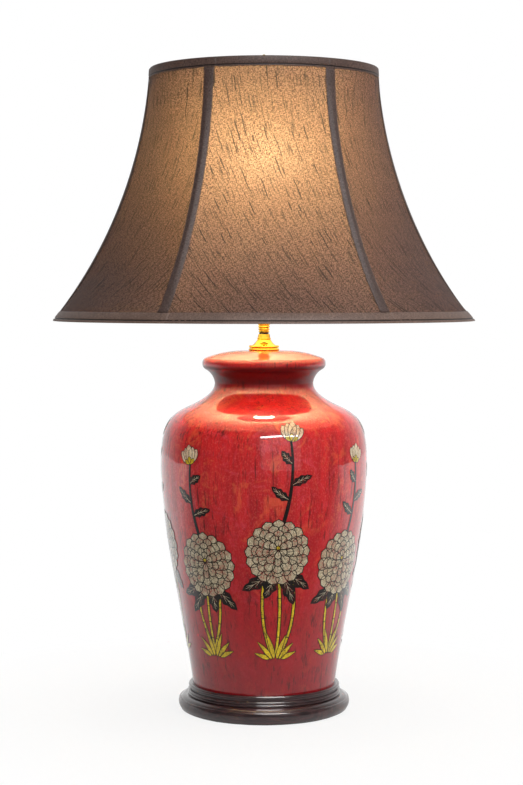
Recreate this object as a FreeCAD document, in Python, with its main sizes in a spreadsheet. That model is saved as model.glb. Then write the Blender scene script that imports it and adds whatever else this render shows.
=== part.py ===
import FreeCAD, Part
import functools
import math
import os
import re

import Sketcher

# Table lamp: a vase-shaped jar on a turned wooden plinth, a brass neck, a turn-key
# socket with a harp, and a gored bell shade held on the harp by a finial.
# Millimetres. The origin is on the underside, on the axis of the lamp, and +Z is up.
# The front of the lamp faces -Y and the harp lies in the XZ plane.

Vec = FreeCAD.Vector
doc = FreeCAD.newDocument("table_lamp")
sheet = doc.addObject("Spreadsheet::Sheet", "sizes")

SIZES = [
    ("running_gap", 0.05, "radial gap of a shaft or thread in its bore"),
    ("seat_gap", 0.3, "gap between curved parts that lie on each other"),
    ("weld_gap", 0.15, "gap between the ends of welded wires"),
    ("felt_thickness", 1.5, "felt pad under the plinth"),
    ("felt_margin", 3.5, "plinth foot showing round the felt"),
    ("foot_radius", 91.3, "plinth at its lower edge"),
    ("face_radius", 93.6, "plinth at the fullest part of its face"),
    ("face_height", 11.0, "straight face of the plinth"),
    ("edge_round", 1.6, "rounded upper arris of the face"),
    ("shoulder_radius", 86.4, "inner end of the sloping shoulder"),
    ("shoulder_rise", 5.1, "rise of the shoulder above the face"),
    ("bead_radius", 83.6, "outer radius of the two lower beads"),
    ("bead_height", 3.0, "height of each lower bead"),
    ("bead_bulge", 0.9, "how far a bead stands out of its quirks"),
    ("groove_depth", 3.0, "dark groove above the lower beads"),
    ("groove_width", 2.2, "height of the dark groove"),
    ("collar_bead_height", 3.2, "bead that holds the foot of the jar"),
    ("nut_recess_radius", 24.0, "recess under the plinth"),
    ("nut_recess_depth", 12.0, "depth of the recess"),
    ("jar_seat_depth", 1.5, "recess in the plinth for the foot of the jar"),
    ("cord_hole_radius", 3.5, "cord hole through the back of the plinth"),
    ("cord_bore_radius", 2.8, "hole through the grommet"),
    ("cord_hole_rise", 4.9, "centre of the cord hole above the felt"),
    ("grommet_flange_radius", 4.4, "flange of the grommet"),
    ("grommet_flange", 1.4, "thickness of the flange"),
    ("grommet_length", 14.0, "length of the grommet in the wood"),
    ("pipe_radius", 5.1, "threaded pipe through the whole lamp"),
    ("pipe_bore", 3.7, "hollow of the pipe, for the wires"),
    ("pipe_tail", 8.5, "pipe showing below the recess ceiling"),
    ("washer_radius", 15.0, "steel washer under the plinth"),
    ("washer_thickness", 1.6, "steel washer"),
    ("nut_width", 14.3, "hexagon nut across its flats"),
    ("nut_thickness", 5.0, "hexagon nut"),
    ("jar_foot_radius", 77.8, "foot of the jar"),
    ("jar_height", 365.8, "jar from its foot to the middle of its top"),
    ("jar_wall", 5.0, "wall of the jar"),
    ("jar_floor", 7.0, "floor of the jar"),
    ("jar_swell_radius", 81.0, "control point of the lower side"),
    ("jar_swell_height", 30.0, "control point of the lower side"),
    ("jar_side_radius", 105.5, "control point of the upper side"),
    ("jar_side_drop", 218.0, "control point of the upper side below the top"),
    ("jar_belly_radius", 116.5, "control point of the belly"),
    ("jar_belly_drop", 106.2, "control point of the belly below the top"),
    ("jar_turn_radius", 103.5, "control point of the shoulder turn"),
    ("jar_turn_drop", 67.8, "control point of the shoulder turn below the top"),
    ("jar_slope_radius", 74.2, "control point of the shoulder slope"),
    ("jar_slope_drop", 58.8, "control point of the shoulder slope below the top"),
    ("jar_neck_radius", 53.7, "narrowest part of the neck"),
    ("jar_neck_drop", 44.0, "control point where the neck starts below the top"),
    ("neck_top_drop", 34.9, "top of the straight neck below the top of the jar"),
    ("lip_radius", 67.4, "widest part of the rolled lip"),
    ("lip_drop", 13.2, "widest part of the lip below the top of the jar"),
    ("lip_under_drop", 20.5, "underside of the lip below the top of the jar"),
    ("lip_edge_drop", 8.3, "outer edge of the domed top below its middle"),
    ("jar_land_radius", 17.6, "flat land under the brass cap"),
    ("jar_hole_radius", 6.5, "holes for the pipe in the jar"),
    ("cap_radius", 16.7, "flange of the brass cap"),
    ("cap_flange_height", 5.6, "two beads of the cap flange"),
    ("cap_cone_height", 6.0, "hollow cone above the flange"),
    ("cap_cone_radius", 12.7, "cone where it meets the flange"),
    ("collar_radius", 7.4, "threaded brass collar"),
    ("collar_ring_height", 2.4, "ring of the collar"),
    ("collar_height", 6.3, "whole collar"),
    ("collar_top_radius", 6.1, "upper end of the collar"),
    ("neck_gap", 1.8, "bare pipe between collar and neck"),
    ("neck_height", 40.0, "turned brass neck"),
    ("neck_foot_radius", 5.8, "lower end of the neck"),
    ("neck_swell_radius", 9.2, "swelling of the neck"),
    ("neck_waist_radius", 6.9, "waist of the neck"),
    ("neck_flange_radius", 10.0, "top flange of the neck"),
    ("neck_flange_height", 3.0, "top flange of the neck"),
    ("saddle_thickness", 2.0, "steel strip of the harp saddle"),
    ("saddle_width", 12.7, "width of the strip"),
    ("saddle_flat", 22.0, "half length of the flat middle of the saddle"),
    ("saddle_rise", 8.0, "rise of the saddle arms up to the sleeves"),
    ("tab_height", 8.0, "narrow tab inside each sleeve"),
    ("tab_width", 4.4, "narrow tab inside each sleeve"),
    ("harp_foot", 31.5, "legs of the harp from the axis"),
    ("harp_wire", 1.75, "radius of the harp wire"),
    ("harp_height", 230.6, "shade seat above the saddle"),
    ("harp_bow", 58.0, "fullest half width of the harp"),
    ("harp_leg", 25.0, "straight part of each leg above the tab"),
    ("harp_bow_low", 64.0, "lower corner of the bow above the leg"),
    ("harp_bow_high", 50.0, "height of the full part of the bow"),
    ("harp_shoulder", 30.0, "half width of the harp at its top"),
    ("harp_leg_bend", 30.0, "bend radius above the legs"),
    ("harp_low_radius", 90.0, "lower bend of the bow"),
    ("harp_high_radius", 90.0, "upper bend of the bow"),
    ("harp_top_bend", 13.0, "bend at the top of the harp"),
    ("sleeve_radius", 4.3, "outside of the locking sleeves"),
    ("sleeve_bore", 3.3, "inside of the locking sleeves"),
    ("sleeve_height", 16.0, "locking sleeve"),
    ("stud_radius", 3.17, "threaded stud on the harp"),
    ("stud_height", 14.5, "stud above the shade seat"),
    ("stud_flange_radius", 7.0, "rest for the shade on the stud"),
    ("stud_flange", 1.6, "rest for the shade on the stud"),
    ("stud_block_radius", 4.6, "block that holds the harp wire"),
    ("stud_block_below", 2.4, "block below the harp wire"),
    ("socket_radius", 17.0, "outside of the socket shell"),
    ("shell_wall", 0.7, "brass wall of shell and cap"),
    ("socket_cap_height", 17.0, "socket cap"),
    ("socket_hub_radius", 8.6, "threaded hub of the socket cap"),
    ("socket_hub_height", 6.0, "threaded hub of the socket cap"),
    ("cap_overlap", 4.5, "shell inside the cap"),
    ("shell_height", 45.0, "socket shell above the cap"),
    ("liner_wall", 0.8, "insulating liner"),
    ("body_height", 22.0, "moulded body of the socket"),
    ("screw_shell_bore", 13.4, "inside of the screw shell"),
    ("screw_shell_wall", 0.5, "screw shell"),
    ("thread_pitch", 3.6, "pitch of the lamp thread"),
    ("thread_depth", 0.5, "depth of the rolled thread"),
    ("key_rise", 12.0, "switch key axis above the socket cap's rim"),
    ("key_shaft_radius", 2.0, "shaft of the switch key"),
    ("key_shaft_end", 25.5, "outer end of the key shaft from the axis"),
    ("key_shaft_start", 6.0, "inner end of the key shaft from the axis"),
    ("key_window", 3.4, "hole for the key in shell and liner"),
    ("key_knob_length", 9.0, "thumb piece of the key"),
    ("key_knob_width", 17.0, "thumb piece of the key"),
    ("key_knob_thickness", 4.6, "thumb piece of the key"),
    ("terminal_radius", 3.2, "heads of the terminal screws"),
    ("terminal_seat_distance", 11.0, "flats on the socket body for the screws"),
    ("terminal_head", 1.8, "heads of the terminal screws"),
    ("setscrew_radius", 1.8, "set screw in the hub"),
    ("contact_gap", 0.2, "gap between bulb and centre contact"),
    ("contact_height", 2.2, "centre contact above the socket floor"),
    ("bulb_globe_radius", 33.5, "bulb at its fullest"),
    ("bulb_length", 133.0, "whole bulb from tip to crown"),
    ("bulb_neck_radius", 13.6, "glass where it leaves the cap"),
    ("bulb_neck_length", 8.0, "straight glass above the cap"),
    ("bulb_waist_swell", 3.5, "how much wider the glass is half way to the globe"),
    ("bulb_waist_drop", 9.0, "where that is, below the middle between neck and globe"),
    ("bulb_wall", 0.8, "glass"),
    ("bulb_cap_height", 21.0, "threaded cap of the bulb"),
    ("bulb_cap_radius", 13.0, "threaded cap of the bulb"),
    ("bulb_tip_height", 1.5, "contact at the tip of the bulb"),
    ("bulb_tip_radius", 4.6, "contact at the tip of the bulb"),
    ("bulb_glass_cone", 4.0, "black glass between contact and cap"),
    ("shade_top_radius", 123.0, "fabric at the top of the shade"),
    ("shade_bottom_radius", 228.6, "fabric at the bottom of the shade"),
    ("shade_height", 271.7, "shade from edge to edge"),
    ("shade_recess", 11.9, "shade seat below the top edge"),
    ("bell_sag", 22.3, "how far the bell curves in from a straight cone"),
    ("panel_sag", 0.78, "share of the round lost in the middle of a panel"),
    ("fabric_thickness", 0.8, "cover of the shade"),
    ("trim_thickness", 0.8, "trim tape"),
    ("trim_gap", 0.1, "glue line under the trim"),
    ("trim_width", 10.6, "trim bands at the two edges"),
    ("trim_fold", 6.0, "trim turned down inside the shade"),
    ("rib_trim_width", 10.4, "trim tape over the ribs"),
    ("ring_wire", 2.0, "radius of the ring wires"),
    ("rib_wire", 1.5, "radius of the rib wires"),
    ("spider_wire", 1.5, "radius of the spider wires"),
    ("spider_step", 0.1, "arms below the face of the washer"),
    ("spider_hub_radius", 11.0, "washer of the spider"),
    ("spider_hub_thickness", 2.0, "washer of the spider"),
    ("spider_drop_start", 27.0, "where the arms start to drop"),
    ("spider_drop_end", 16.0, "where the arms reach the washer"),
    ("spider_bend", 5.0, "bend radius of the arms"),
    ("finial_height", 26.0, "finial"),
    ("finial_foot_radius", 7.0, "foot of the finial"),
    ("finial_belly_radius", 9.0, "fullest part of the finial"),
    ("finial_stem_radius", 5.0, "stem of the finial"),
    ("finial_thread", 13.0, "depth of the thread in the finial"),
]

PANELS = 6
SPIDER_ARMS = 3
SEAM_ANGLE = 3.0
SHELL_TURNS = 5
BULB_TURNS = 4
# A domed end stops at a small flat: an angle on the bulb, and a radius on small parts.
CROWN = 88
POLE = "0.4"

# Places and sizes that follow from the spreadsheet's values.
PLACES = {
    "plinth_bottom": "felt_thickness",
    "face_top": "plinth_bottom + face_height",
    "shoulder_top": "face_top + shoulder_rise",
    "beads_top": "shoulder_top + 2 * bead_height",
    "groove_top": "beads_top + groove_width",
    "plinth_top": "groove_top + collar_bead_height",
    "recess_top": "plinth_bottom + nut_recess_depth",
    "cord_hole_z": "plinth_bottom + cord_hole_rise",
    "jar_bottom": "plinth_top - jar_seat_depth",
    "jar_top": "jar_bottom + jar_height",
    "threaded_bore": "pipe_radius + running_gap",
    "cap_top": "jar_top + cap_flange_height + cap_cone_height",
    "collar_top": "cap_top + collar_height",
    "neck_bottom": "collar_top + neck_gap",
    "neck_top": "neck_bottom + neck_height",
    "saddle_top": "neck_top + saddle_thickness",
    "arm_top": "saddle_top + saddle_rise",
    "tab_top": "arm_top + tab_height",
    "shade_seat": "saddle_top + harp_height",
    "harp_wire_z": "shade_seat - stud_flange - harp_wire - 0.4",
    "socket_rim": "saddle_top + socket_cap_height",
    "shell_bottom": "socket_rim - cap_overlap",
    "shell_top": "socket_rim + shell_height",
    "shell_bore": "socket_radius - shell_wall",
    "liner_radius": "shell_bore - 0.2",
    "liner_bore": "liner_radius - liner_wall",
    "body_radius": "liner_bore - 0.2",
    "body_bottom": "shell_bottom",
    "body_top": "body_bottom + body_height",
    "key_z": "socket_rim + key_rise",
    "contact_top": "body_top + contact_height",
    "bulb_bottom": "contact_top + contact_gap",
    "bulb_top": "bulb_bottom + bulb_length",
    "globe_z": "bulb_top - bulb_globe_radius",
    "bulb_cap_bottom": "bulb_bottom + bulb_tip_height + bulb_glass_cone",
    "bulb_cap_top": "bulb_cap_bottom + bulb_cap_height",
    "shade_top": "shade_seat + shade_recess",
    "shade_bottom": "shade_top - shade_height",
    "cover_top": "shade_top - trim_thickness - trim_gap",
    "cover_bottom": "shade_bottom + trim_thickness + trim_gap",
    "bell_spread": "shade_bottom_radius - shade_top_radius",
    "bell_chord": "sqrt(shade_height ^ 2 + bell_spread ^ 2)",
    "bell_arc": "(bell_chord ^ 2 / 4 + bell_sag ^ 2) / (2 * bell_sag)",
    "bell_x": "(shade_top_radius + shade_bottom_radius) / 2"
    " + (bell_arc - bell_sag) * shade_height / bell_chord",
    "bell_z": "(shade_top + shade_bottom) / 2"
    " + (bell_arc - bell_sag) * bell_spread / bell_chord",
    "ring_depth": "fabric_thickness + seat_gap + ring_wire",
    "rib_depth": "fabric_thickness + seat_gap + rib_wire",
    "top_ring_z": "cover_top - seat_gap - ring_wire",
    "bottom_ring_z": "cover_bottom + seat_gap + ring_wire",
    "trim_depth": "0 - trim_gap - trim_thickness",
}

# Spreadsheet and expressions.

for row, (name, size, note) in enumerate(SIZES, start=1):
    sheet.set(f"A{row}", name.replace("_", " "))
    sheet.set(f"B{row}", str(size))
    sheet.setAlias(f"B{row}", name)
    sheet.set(f"C{row}", note)
doc.recompute()
NAMES = {name for name, size, note in SIZES}


@functools.lru_cache(maxsize=None)
def bound(text):
    """The expression for a text that uses the names above."""

    def swap(match):
        word = match.group(0)
        if word in PLACES:
            return "(" + bound(PLACES[word]) + ")"
        if word in NAMES:
            return "sizes." + word
        return word

    return re.sub(r"[a-z][a-z_]*", swap, text)


@functools.lru_cache(maxsize=None)
def number(text):
    return float(sheet.evalExpression(bound(text)))


def bell(z, depth):
    """Radius of the bell curve at a height, a depth inside the outer face of the fabric."""
    return f"(bell_x - sqrt((bell_arc + {depth}) ^ 2 - (({z}) - bell_z) ^ 2))"


# Sketches. A point is a pair of texts, and each coordinate is bound to its text.

def new_body(name):
    body = doc.addObject("PartDesign::Body", name)
    body.Label = name
    body.AllowCompound = True
    return body


def origin_of(body, role):
    return [part for part in body.Origin.OriginFeatures if part.Role == role][0]


def new_sketch(body, plane, offset=None):
    sketch = body.newObject("Sketcher::SketchObject", body.Name + "_sketch")
    sketch.AttachmentSupport = [(origin_of(body, plane), "")]
    sketch.MapMode = "FlatFace"
    if offset is not None:
        sketch.setExpression("AttachmentOffset.Base.z", bound(offset))
    return sketch


def pin(rules, geometry, position, point):
    """Rules that bind one point of a sketch to its two texts."""
    for kind, text in zip(("DistanceX", "DistanceY"), point):
        rule = Sketcher.Constraint(kind, -1, 1, geometry, position, number(text))
        rules.append((rule, text))


def pin_radius(rules, geometry, text):
    rules.append((Sketcher.Constraint("Radius", geometry, number(text)), text))


def apply(sketch, rules):
    """Add the rules to a sketch, and bind those that have a text."""
    indices = sketch.addConstraint([rule for rule, text in rules])
    for index, (rule, text) in zip(indices, rules):
        if text is not None:
            sketch.setExpression(f"Constraints[{index}]", bound(text))


def at(point):
    return Vec(number(point[0]), number(point[1]), 0)


def end_near(sketch, geometry, place):
    """Which end of an edge, 1 or 2, lies at a place."""
    first = sketch.getPoint(geometry, 1)
    second = sketch.getPoint(geometry, 2)
    return 1 if first.distanceToPoint(place) < second.distanceToPoint(place) else 2


def add_arc(sketch, rules, start, middle, end):
    """An arc through three points. The middle one is a bound point on the arc."""
    arc = Part.Arc(at(start), at(middle), at(end))
    geometry = sketch.addGeometry(arc, False)
    mark = sketch.addGeometry(Part.Point(at(middle)), True)
    rules.append((Sketcher.Constraint("PointOnObject", mark, 1, geometry), None))
    pin(rules, mark, 1, middle)
    return geometry


def add_curve(sketch, rules, poles):
    """A smooth curve whose control points are bound."""
    curve = Part.BSplineCurve()
    curve.buildFromPoles([at(pole) for pole in poles], False, 3)
    geometry = sketch.addGeometry(curve, False)
    sketch.exposeInternalGeometry(geometry)
    for step, pole in enumerate(poles[1:-1], start=2):
        pin(rules, geometry + step, 3, pole)
    return geometry


def outline(sketch, start, *steps):
    """A closed outline of lines, of arcs (middle, end) and of curves (poles, end)."""
    here = start
    edges = []
    rules = []
    closing = [] if steps[-1][-1] == start else [("line", start)]
    for kind, *points in list(steps) + closing:
        there = points[-1]
        if kind == "line":
            edge = sketch.addGeometry(Part.LineSegment(at(here), at(there)), False)
        elif kind == "arc":
            edge = add_arc(sketch, rules, here, points[0], there)
        else:
            edge = add_curve(sketch, rules, [here, *points[0], there])
        edges.append((edge, there))
        here = there
    for (edge, corner), (follower, far) in zip(edges, edges[1:] + edges[:1]):
        one = end_near(sketch, edge, at(corner))
        two = end_near(sketch, follower, at(corner))
        rules.append((Sketcher.Constraint("Coincident", edge, one, follower, two), None))
        pin(rules, edge, one, corner)
    apply(sketch, rules)


def circle(sketch, centre, radius):
    rules = []
    shape = Part.Circle(at(centre), Vec(0, 0, 1), number(radius))
    geometry = sketch.addGeometry(shape, False)
    pin(rules, geometry, 3, centre)
    pin_radius(rules, geometry, radius)
    apply(sketch, rules)


def rounded_path(sketch, points, bends):
    """An open path of straight runs, rounded at each inner point with its own bend radius."""
    places = [at(point) for point in points]
    rules = []
    runs = []
    for one, two in zip(places, places[1:]):
        runs.append(sketch.addGeometry(Part.LineSegment(one, two), False))
    for first, second in zip(runs, runs[1:]):
        sketch.addConstraint(Sketcher.Constraint("Coincident", first, 2, second, 1))
    for step, bend in enumerate(bends):
        before, corner, after = places[step : step + 3]
        arc = sketch.GeometryCount
        picks = (corner + (before - corner) * 0.3, corner + (after - corner) * 0.3)
        sketch.fillet(runs[step], runs[step + 1], *picks, number(bend), True, True)
        pin_radius(rules, arc, bend)
        pin(rules, arc + 1, 1, points[step + 1])
    pin(rules, runs[0], 1, points[0])
    pin(rules, runs[-1], 2, points[-1])
    apply(sketch, rules)


# Features.

def revolve(body, start, *steps, plane="XZ_Plane", groove=False):
    sketch = new_sketch(body, plane)
    outline(sketch, start, *steps)
    kind = "PartDesign::Groove" if groove else "PartDesign::Revolution"
    feature = body.newObject(kind, body.Name + "_turned")
    feature.Profile = sketch
    feature.ReferenceAxis = (sketch, ["V_Axis"])
    feature.Angle = 360
    return feature


def turned(name, start, *steps):
    """A body of revolution about the lamp's axis, from one half outline."""
    body = new_body(name)
    revolve(body, start, *steps)
    return body


def extrude(body, sketch, length, midplane=False, reverse=False, cut=False):
    kind = "PartDesign::Pocket" if cut else "PartDesign::Pad"
    feature = body.newObject(kind, body.Name + ("_cut" if cut else "_pad"))
    feature.Profile = sketch
    feature.Length = number(length)
    feature.setExpression("Length", bound(length))
    feature.SideType = "Symmetric" if midplane else "One side"
    feature.Reversed = reverse
    return feature


def cross_hole(body, plane, centre, radius, start, length):
    """A round hole along +Y or along X, from a distance out along that axis."""
    before = solid_volume(body)
    sketch = new_sketch(body, plane, start)
    circle(sketch, centre, radius)
    feature = extrude(body, sketch, length, cut=True)
    doc.recompute()
    if before - feature.Shape.Volume < 1e-3:
        raise RuntimeError(f"{body.Label}: a hole cuts nothing")
    return feature


def solid_volume(body):
    doc.recompute()
    return body.Shape.Volume


def pipe(body, path, profile):
    feature = body.newObject("PartDesign::AdditivePipe", body.Name + "_pipe")
    feature.Profile = profile
    feature.Spine = (path, [])
    return feature


def around(body, originals, count):
    """Repeat features evenly about the lamp's axis."""
    feature = body.newObject("PartDesign::PolarPattern", body.Name + "_round")
    feature.Originals = originals
    feature.Axis = (origin_of(body, "Z_Axis"), [""])
    feature.Angle = 360
    feature.Occurrences = count
    body.Tip = feature
    return feature


def place(body, **bindings):
    for path, text in bindings.items():
        body.setExpression("Placement.Base." + path, bound(text))


def turn(body, axis, angle):
    body.Placement = FreeCAD.Placement(Vec(), FreeCAD.Rotation(axis, angle))


def line(x, z):
    return ("line", (x, z))


def arc(mid_x, mid_z, x, z):
    return ("arc", (mid_x, mid_z), (x, z))


def ring_section(outer, inner, low, high):
    """Outline of a plain ring between two radii and two heights."""
    return (
        (inner, low),
        line(outer, low),
        line(outer, high),
        line(inner, high),
    )


# Plinth, felt, grommet and the clamping hardware under the lamp.

def make_felt_pad():
    pad = doc.addObject("Part::Cylinder", "felt_pad")
    pad.Label = "felt_pad"
    pad.setExpression("Radius", bound("foot_radius - felt_margin"))
    pad.setExpression("Height", bound("felt_thickness"))
    return pad


def make_plinth():
    bead_quirk = "bead_radius - bead_bulge"
    seat = "jar_foot_radius + seat_gap"
    body = turned(
        "plinth",
        ("nut_recess_radius", "plinth_bottom"),
        line("foot_radius - edge_round", "plinth_bottom"),
        arc(
            "foot_radius - 0.3 * edge_round",
            "plinth_bottom + 0.3 * edge_round",
            "foot_radius",
            "plinth_bottom + edge_round",
        ),
        arc(
            "face_radius",
            "plinth_bottom + 0.6 * face_height",
            "face_radius - 0.3",
            "face_top",
        ),
        arc(
            "face_radius - 0.5 * edge_round",
            "face_top + 0.8 * edge_round",
            "face_radius - 1.6 * edge_round",
            "face_top + 1.2 * edge_round",
        ),
        arc(
            "(face_radius + shoulder_radius) / 2 - 1.2",
            "face_top + 0.78 * shoulder_rise",
            "shoulder_radius",
            "shoulder_top",
        ),
        line(bead_quirk, "shoulder_top"),
        arc(
            "bead_radius",
            "shoulder_top + bead_height / 2",
            bead_quirk,
            "shoulder_top + bead_height",
        ),
        arc(
            "bead_radius - 0.1",
            "shoulder_top + 1.5 * bead_height",
            bead_quirk,
            "beads_top",
        ),
        line("bead_radius - groove_depth", "beads_top + 0.2 * groove_width"),
        line("bead_radius - groove_depth", "groove_top - 0.1 * groove_width"),
        line("bead_radius - 2 * bead_bulge", "groove_top"),
        arc(
            "bead_radius - bead_bulge",
            "groove_top + 0.4 * collar_bead_height",
            "jar_foot_radius + 1.2",
            "plinth_top",
        ),
        line(seat, "plinth_top"),
        line(seat, "jar_bottom"),
        line("pipe_radius + seat_gap", "jar_bottom"),
        line("pipe_radius + seat_gap", "recess_top"),
        line("nut_recess_radius", "recess_top"),
    )
    cross_hole(
        body, "XZ_Plane", ("0", "cord_hole_z"), "cord_hole_radius", "0", "foot_radius + 5",
    )
    cross_hole(
        body, "XZ_Plane", ("0", "cord_hole_z"), "grommet_flange_radius + 0.1",
        "grommet_flange - foot_radius", "grommet_flange + 5",
    )
    return body


def make_cord_grommet():
    """Rubber bush in the cord hole. It is drawn upright and turned to face the back."""
    body = turned(
        "cord_grommet",
        ("cord_bore_radius", "0"),
        line("cord_hole_radius - 0.1", "0"),
        line("cord_hole_radius - 0.1", "grommet_length"),
        line("grommet_flange_radius", "grommet_length"),
        line("grommet_flange_radius", "grommet_length + 0.6 * grommet_flange"),
        arc(
            "(grommet_flange_radius + cord_bore_radius) / 2",
            "grommet_length + grommet_flange",
            "cord_bore_radius",
            "grommet_length + 0.7 * grommet_flange",
        ),
    )
    turn(body, Vec(1, 0, 0), -90)
    place(body, y="foot_radius - grommet_flange - grommet_length", z="cord_hole_z")
    return body


def make_bottom_washer():
    return turned(
        "bottom_washer",
        *ring_section(
            "washer_radius",
            "threaded_bore",
            "recess_top - washer_thickness",
            "recess_top",
        ),
    )


def make_bottom_nut():
    """Hexagon nut with its corners turned off, below the washer."""
    body = new_body("bottom_nut")
    sketch = new_sketch(body, "XY_Plane", "recess_top - washer_thickness - nut_thickness")
    corner = "(nut_width / sqrt(3))"
    points = [
        (f"{corner} * {math.cos(math.radians(60 * step)):.6f}",
         f"{corner} * {math.sin(math.radians(60 * step)):.6f}")
        for step in range(6)
    ]
    outline(sketch, points[0], *[("line", point) for point in points[1:]])
    circle(sketch, ("0", "0"), "threaded_bore")
    extrude(body, sketch, "nut_thickness")
    bottom = "recess_top - washer_thickness - nut_thickness"
    revolve(
        body,
        (f"{corner} * 0.93", bottom),
        line(f"{corner} * 1.1", bottom),
        line(f"{corner} * 1.1", f"{bottom} + 0.2 * nut_thickness"),
        groove=True,
    )
    return body


def make_lamp_pipe():
    return turned(
        "lamp_pipe",
        *ring_section(
            "pipe_radius",
            "pipe_bore",
            "recess_top - pipe_tail",
            "saddle_top + socket_hub_height + 2",
        ),
    )


# Jar.

def jar_side(wall):
    """Control points of the jar's side, moved in by a wall and down by its slope."""
    points = [(f"jar_swell_radius - {wall}", "jar_bottom + jar_swell_height")]
    for name, slope in (("side", 0), ("belly", 0.2), ("turn", 0.6), ("slope", 0.8)):
        points.append(
            (f"jar_{name}_radius - {wall}", f"jar_top - jar_{name}_drop - {wall} * {slope}")
        )
    return points


def make_jar():
    neck_start = "jar_top - jar_neck_drop"
    neck_top = "jar_top - neck_top_drop"
    inside = jar_side("jar_wall")
    inner_neck = "jar_neck_radius - jar_wall"
    return turned(
        "jar",
        ("jar_hole_radius", "jar_bottom"),
        line("jar_foot_radius", "jar_bottom"),
        (
            "curve",
            jar_side("0") + [("jar_neck_radius", neck_start)],
            ("jar_neck_radius", neck_top),
        ),
        arc(
            "jar_neck_radius + 3.2",
            f"{neck_top} + 8.6",
            "lip_radius - 4.2",
            "jar_top - lip_under_drop",
        ),
        arc("lip_radius", "jar_top - lip_drop", "lip_radius - 2.4", "jar_top - lip_edge_drop"),
        arc(
            "(lip_radius + jar_land_radius) / 2",
            "jar_top - 0.21 * lip_edge_drop",
            "jar_land_radius",
            "jar_top",
        ),
        line("jar_hole_radius", "jar_top"),
        line("jar_hole_radius", "jar_top - jar_wall"),
        arc(
            "0.5 * lip_radius",
            "jar_top - jar_wall - 0.2 * lip_edge_drop",
            inner_neck,
            "jar_top - lip_under_drop",
        ),
        line(inner_neck, neck_top),
        (
            "curve",
            [(inner_neck, f"{neck_start} - 0.6 * jar_wall")] + inside[::-1],
            ("jar_foot_radius - jar_wall", "jar_bottom + jar_floor"),
        ),
        line("jar_hole_radius", "jar_bottom + jar_floor"),
    )


# Brass neck.

def make_vase_cap():
    """Brass cap that closes the jar: a flange of two beads under a hollow cone."""
    bead = "0.43 * cap_flange_height"
    top = "jar_top + cap_flange_height"
    return turned(
        "vase_cap",
        ("threaded_bore", "jar_top"),
        line("cap_radius - 0.6", "jar_top"),
        arc("cap_radius", f"jar_top + {bead} / 2", "cap_radius - 0.6", f"jar_top + {bead}"),
        line("cap_radius - 1.8", f"jar_top + {bead} + 0.2"),
        line("cap_radius - 1.8", f"jar_top + {bead} + 0.6"),
        line("cap_radius - 0.9", f"jar_top + {bead} + 0.8"),
        arc("cap_radius - 0.2", f"{top} - {bead} / 2", "cap_radius - 1.2", top),
        line("cap_cone_radius", f"{top} + 0.2"),
        arc(
            "0.55 * collar_radius + 0.45 * cap_cone_radius",
            f"{top} + 0.42 * cap_cone_height",
            "collar_radius + 0.1",
            "cap_top",
        ),
        line("threaded_bore", "cap_top"),
    )


def make_neck_collar():
    """Brass locknut ring that clamps the cap and the jar."""
    ring = "cap_top + collar_ring_height"
    return turned(
        "neck_collar",
        ("threaded_bore", "cap_top"),
        line("collar_radius - 0.4", "cap_top"),
        arc("collar_radius", f"cap_top + collar_ring_height / 2", "collar_radius - 0.4", ring),
        line("collar_radius - 0.6", f"{ring} + 0.1"),
        line("collar_top_radius", "collar_top"),
        line("threaded_bore", "collar_top"),
    )


def make_neck_spindle():
    """Turned brass neck below the socket."""
    flange = "neck_top - neck_flange_height"
    return turned(
        "neck_spindle",
        ("threaded_bore", "neck_bottom"),
        line("neck_foot_radius", "neck_bottom"),
        line("neck_foot_radius", "neck_bottom + 1.5"),
        line("neck_foot_radius + 0.3", "neck_bottom + 1.8"),
        line("neck_foot_radius + 0.2", "neck_bottom + 3.4"),
        arc(
            "neck_swell_radius",
            "neck_bottom + 0.42 * neck_height",
            "neck_waist_radius + 0.4",
            "neck_bottom + 0.66 * neck_height",
        ),
        arc(
            "neck_waist_radius - 0.2",
            "neck_bottom + 0.8 * neck_height",
            "neck_flange_radius - 1.6",
            flange,
        ),
        line("neck_flange_radius - 0.5", flange),
        arc(
            "neck_flange_radius",
            "neck_top - neck_flange_height / 2",
            "neck_flange_radius - 0.5",
            "neck_top",
        ),
        line("threaded_bore", "neck_top"),
    )


# Harp.

def make_harp_saddle():
    """Bent steel strip with a narrow tab at each end for the harp's legs."""
    body = new_body("harp_saddle")
    half = "saddle_thickness / 2"
    sketch = new_sketch(body, "XZ_Plane")
    right = [
        ("saddle_flat", "neck_top"),
        (f"harp_foot + {half}", "neck_top + 0.6 * saddle_rise"),
        (f"harp_foot + {half}", "arm_top"),
        (f"harp_foot - {half}", "arm_top"),
        (f"harp_foot - {half}", "saddle_top + 0.6 * saddle_rise"),
        ("saddle_flat - 0.6", "saddle_top"),
    ]
    left = [("0 - " + f"({x})", z) for x, z in right[::-1]]
    points = right + left
    outline(sketch, points[0], *[("line", point) for point in points[1:]])
    extrude(body, sketch, "saddle_width", midplane=True)
    tabs = new_sketch(body, "XY_Plane", "arm_top")
    for side in ("", "0 - "):
        inner = f"{side}(harp_foot - {half})"
        outer = f"{side}(harp_foot + {half})"
        outline(
            tabs,
            (inner, "0 - tab_width / 2"),
            line(outer, "0 - tab_width / 2"),
            line(outer, "tab_width / 2"),
            line(inner, "tab_width / 2"),
        )
    extrude(body, tabs, "tab_height")
    hole = new_sketch(body, "XY_Plane", "saddle_top + 1")
    circle(hole, ("0", "0"), "pipe_radius + seat_gap")
    extrude(body, hole, "saddle_thickness + 2", cut=True)
    return body


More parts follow.
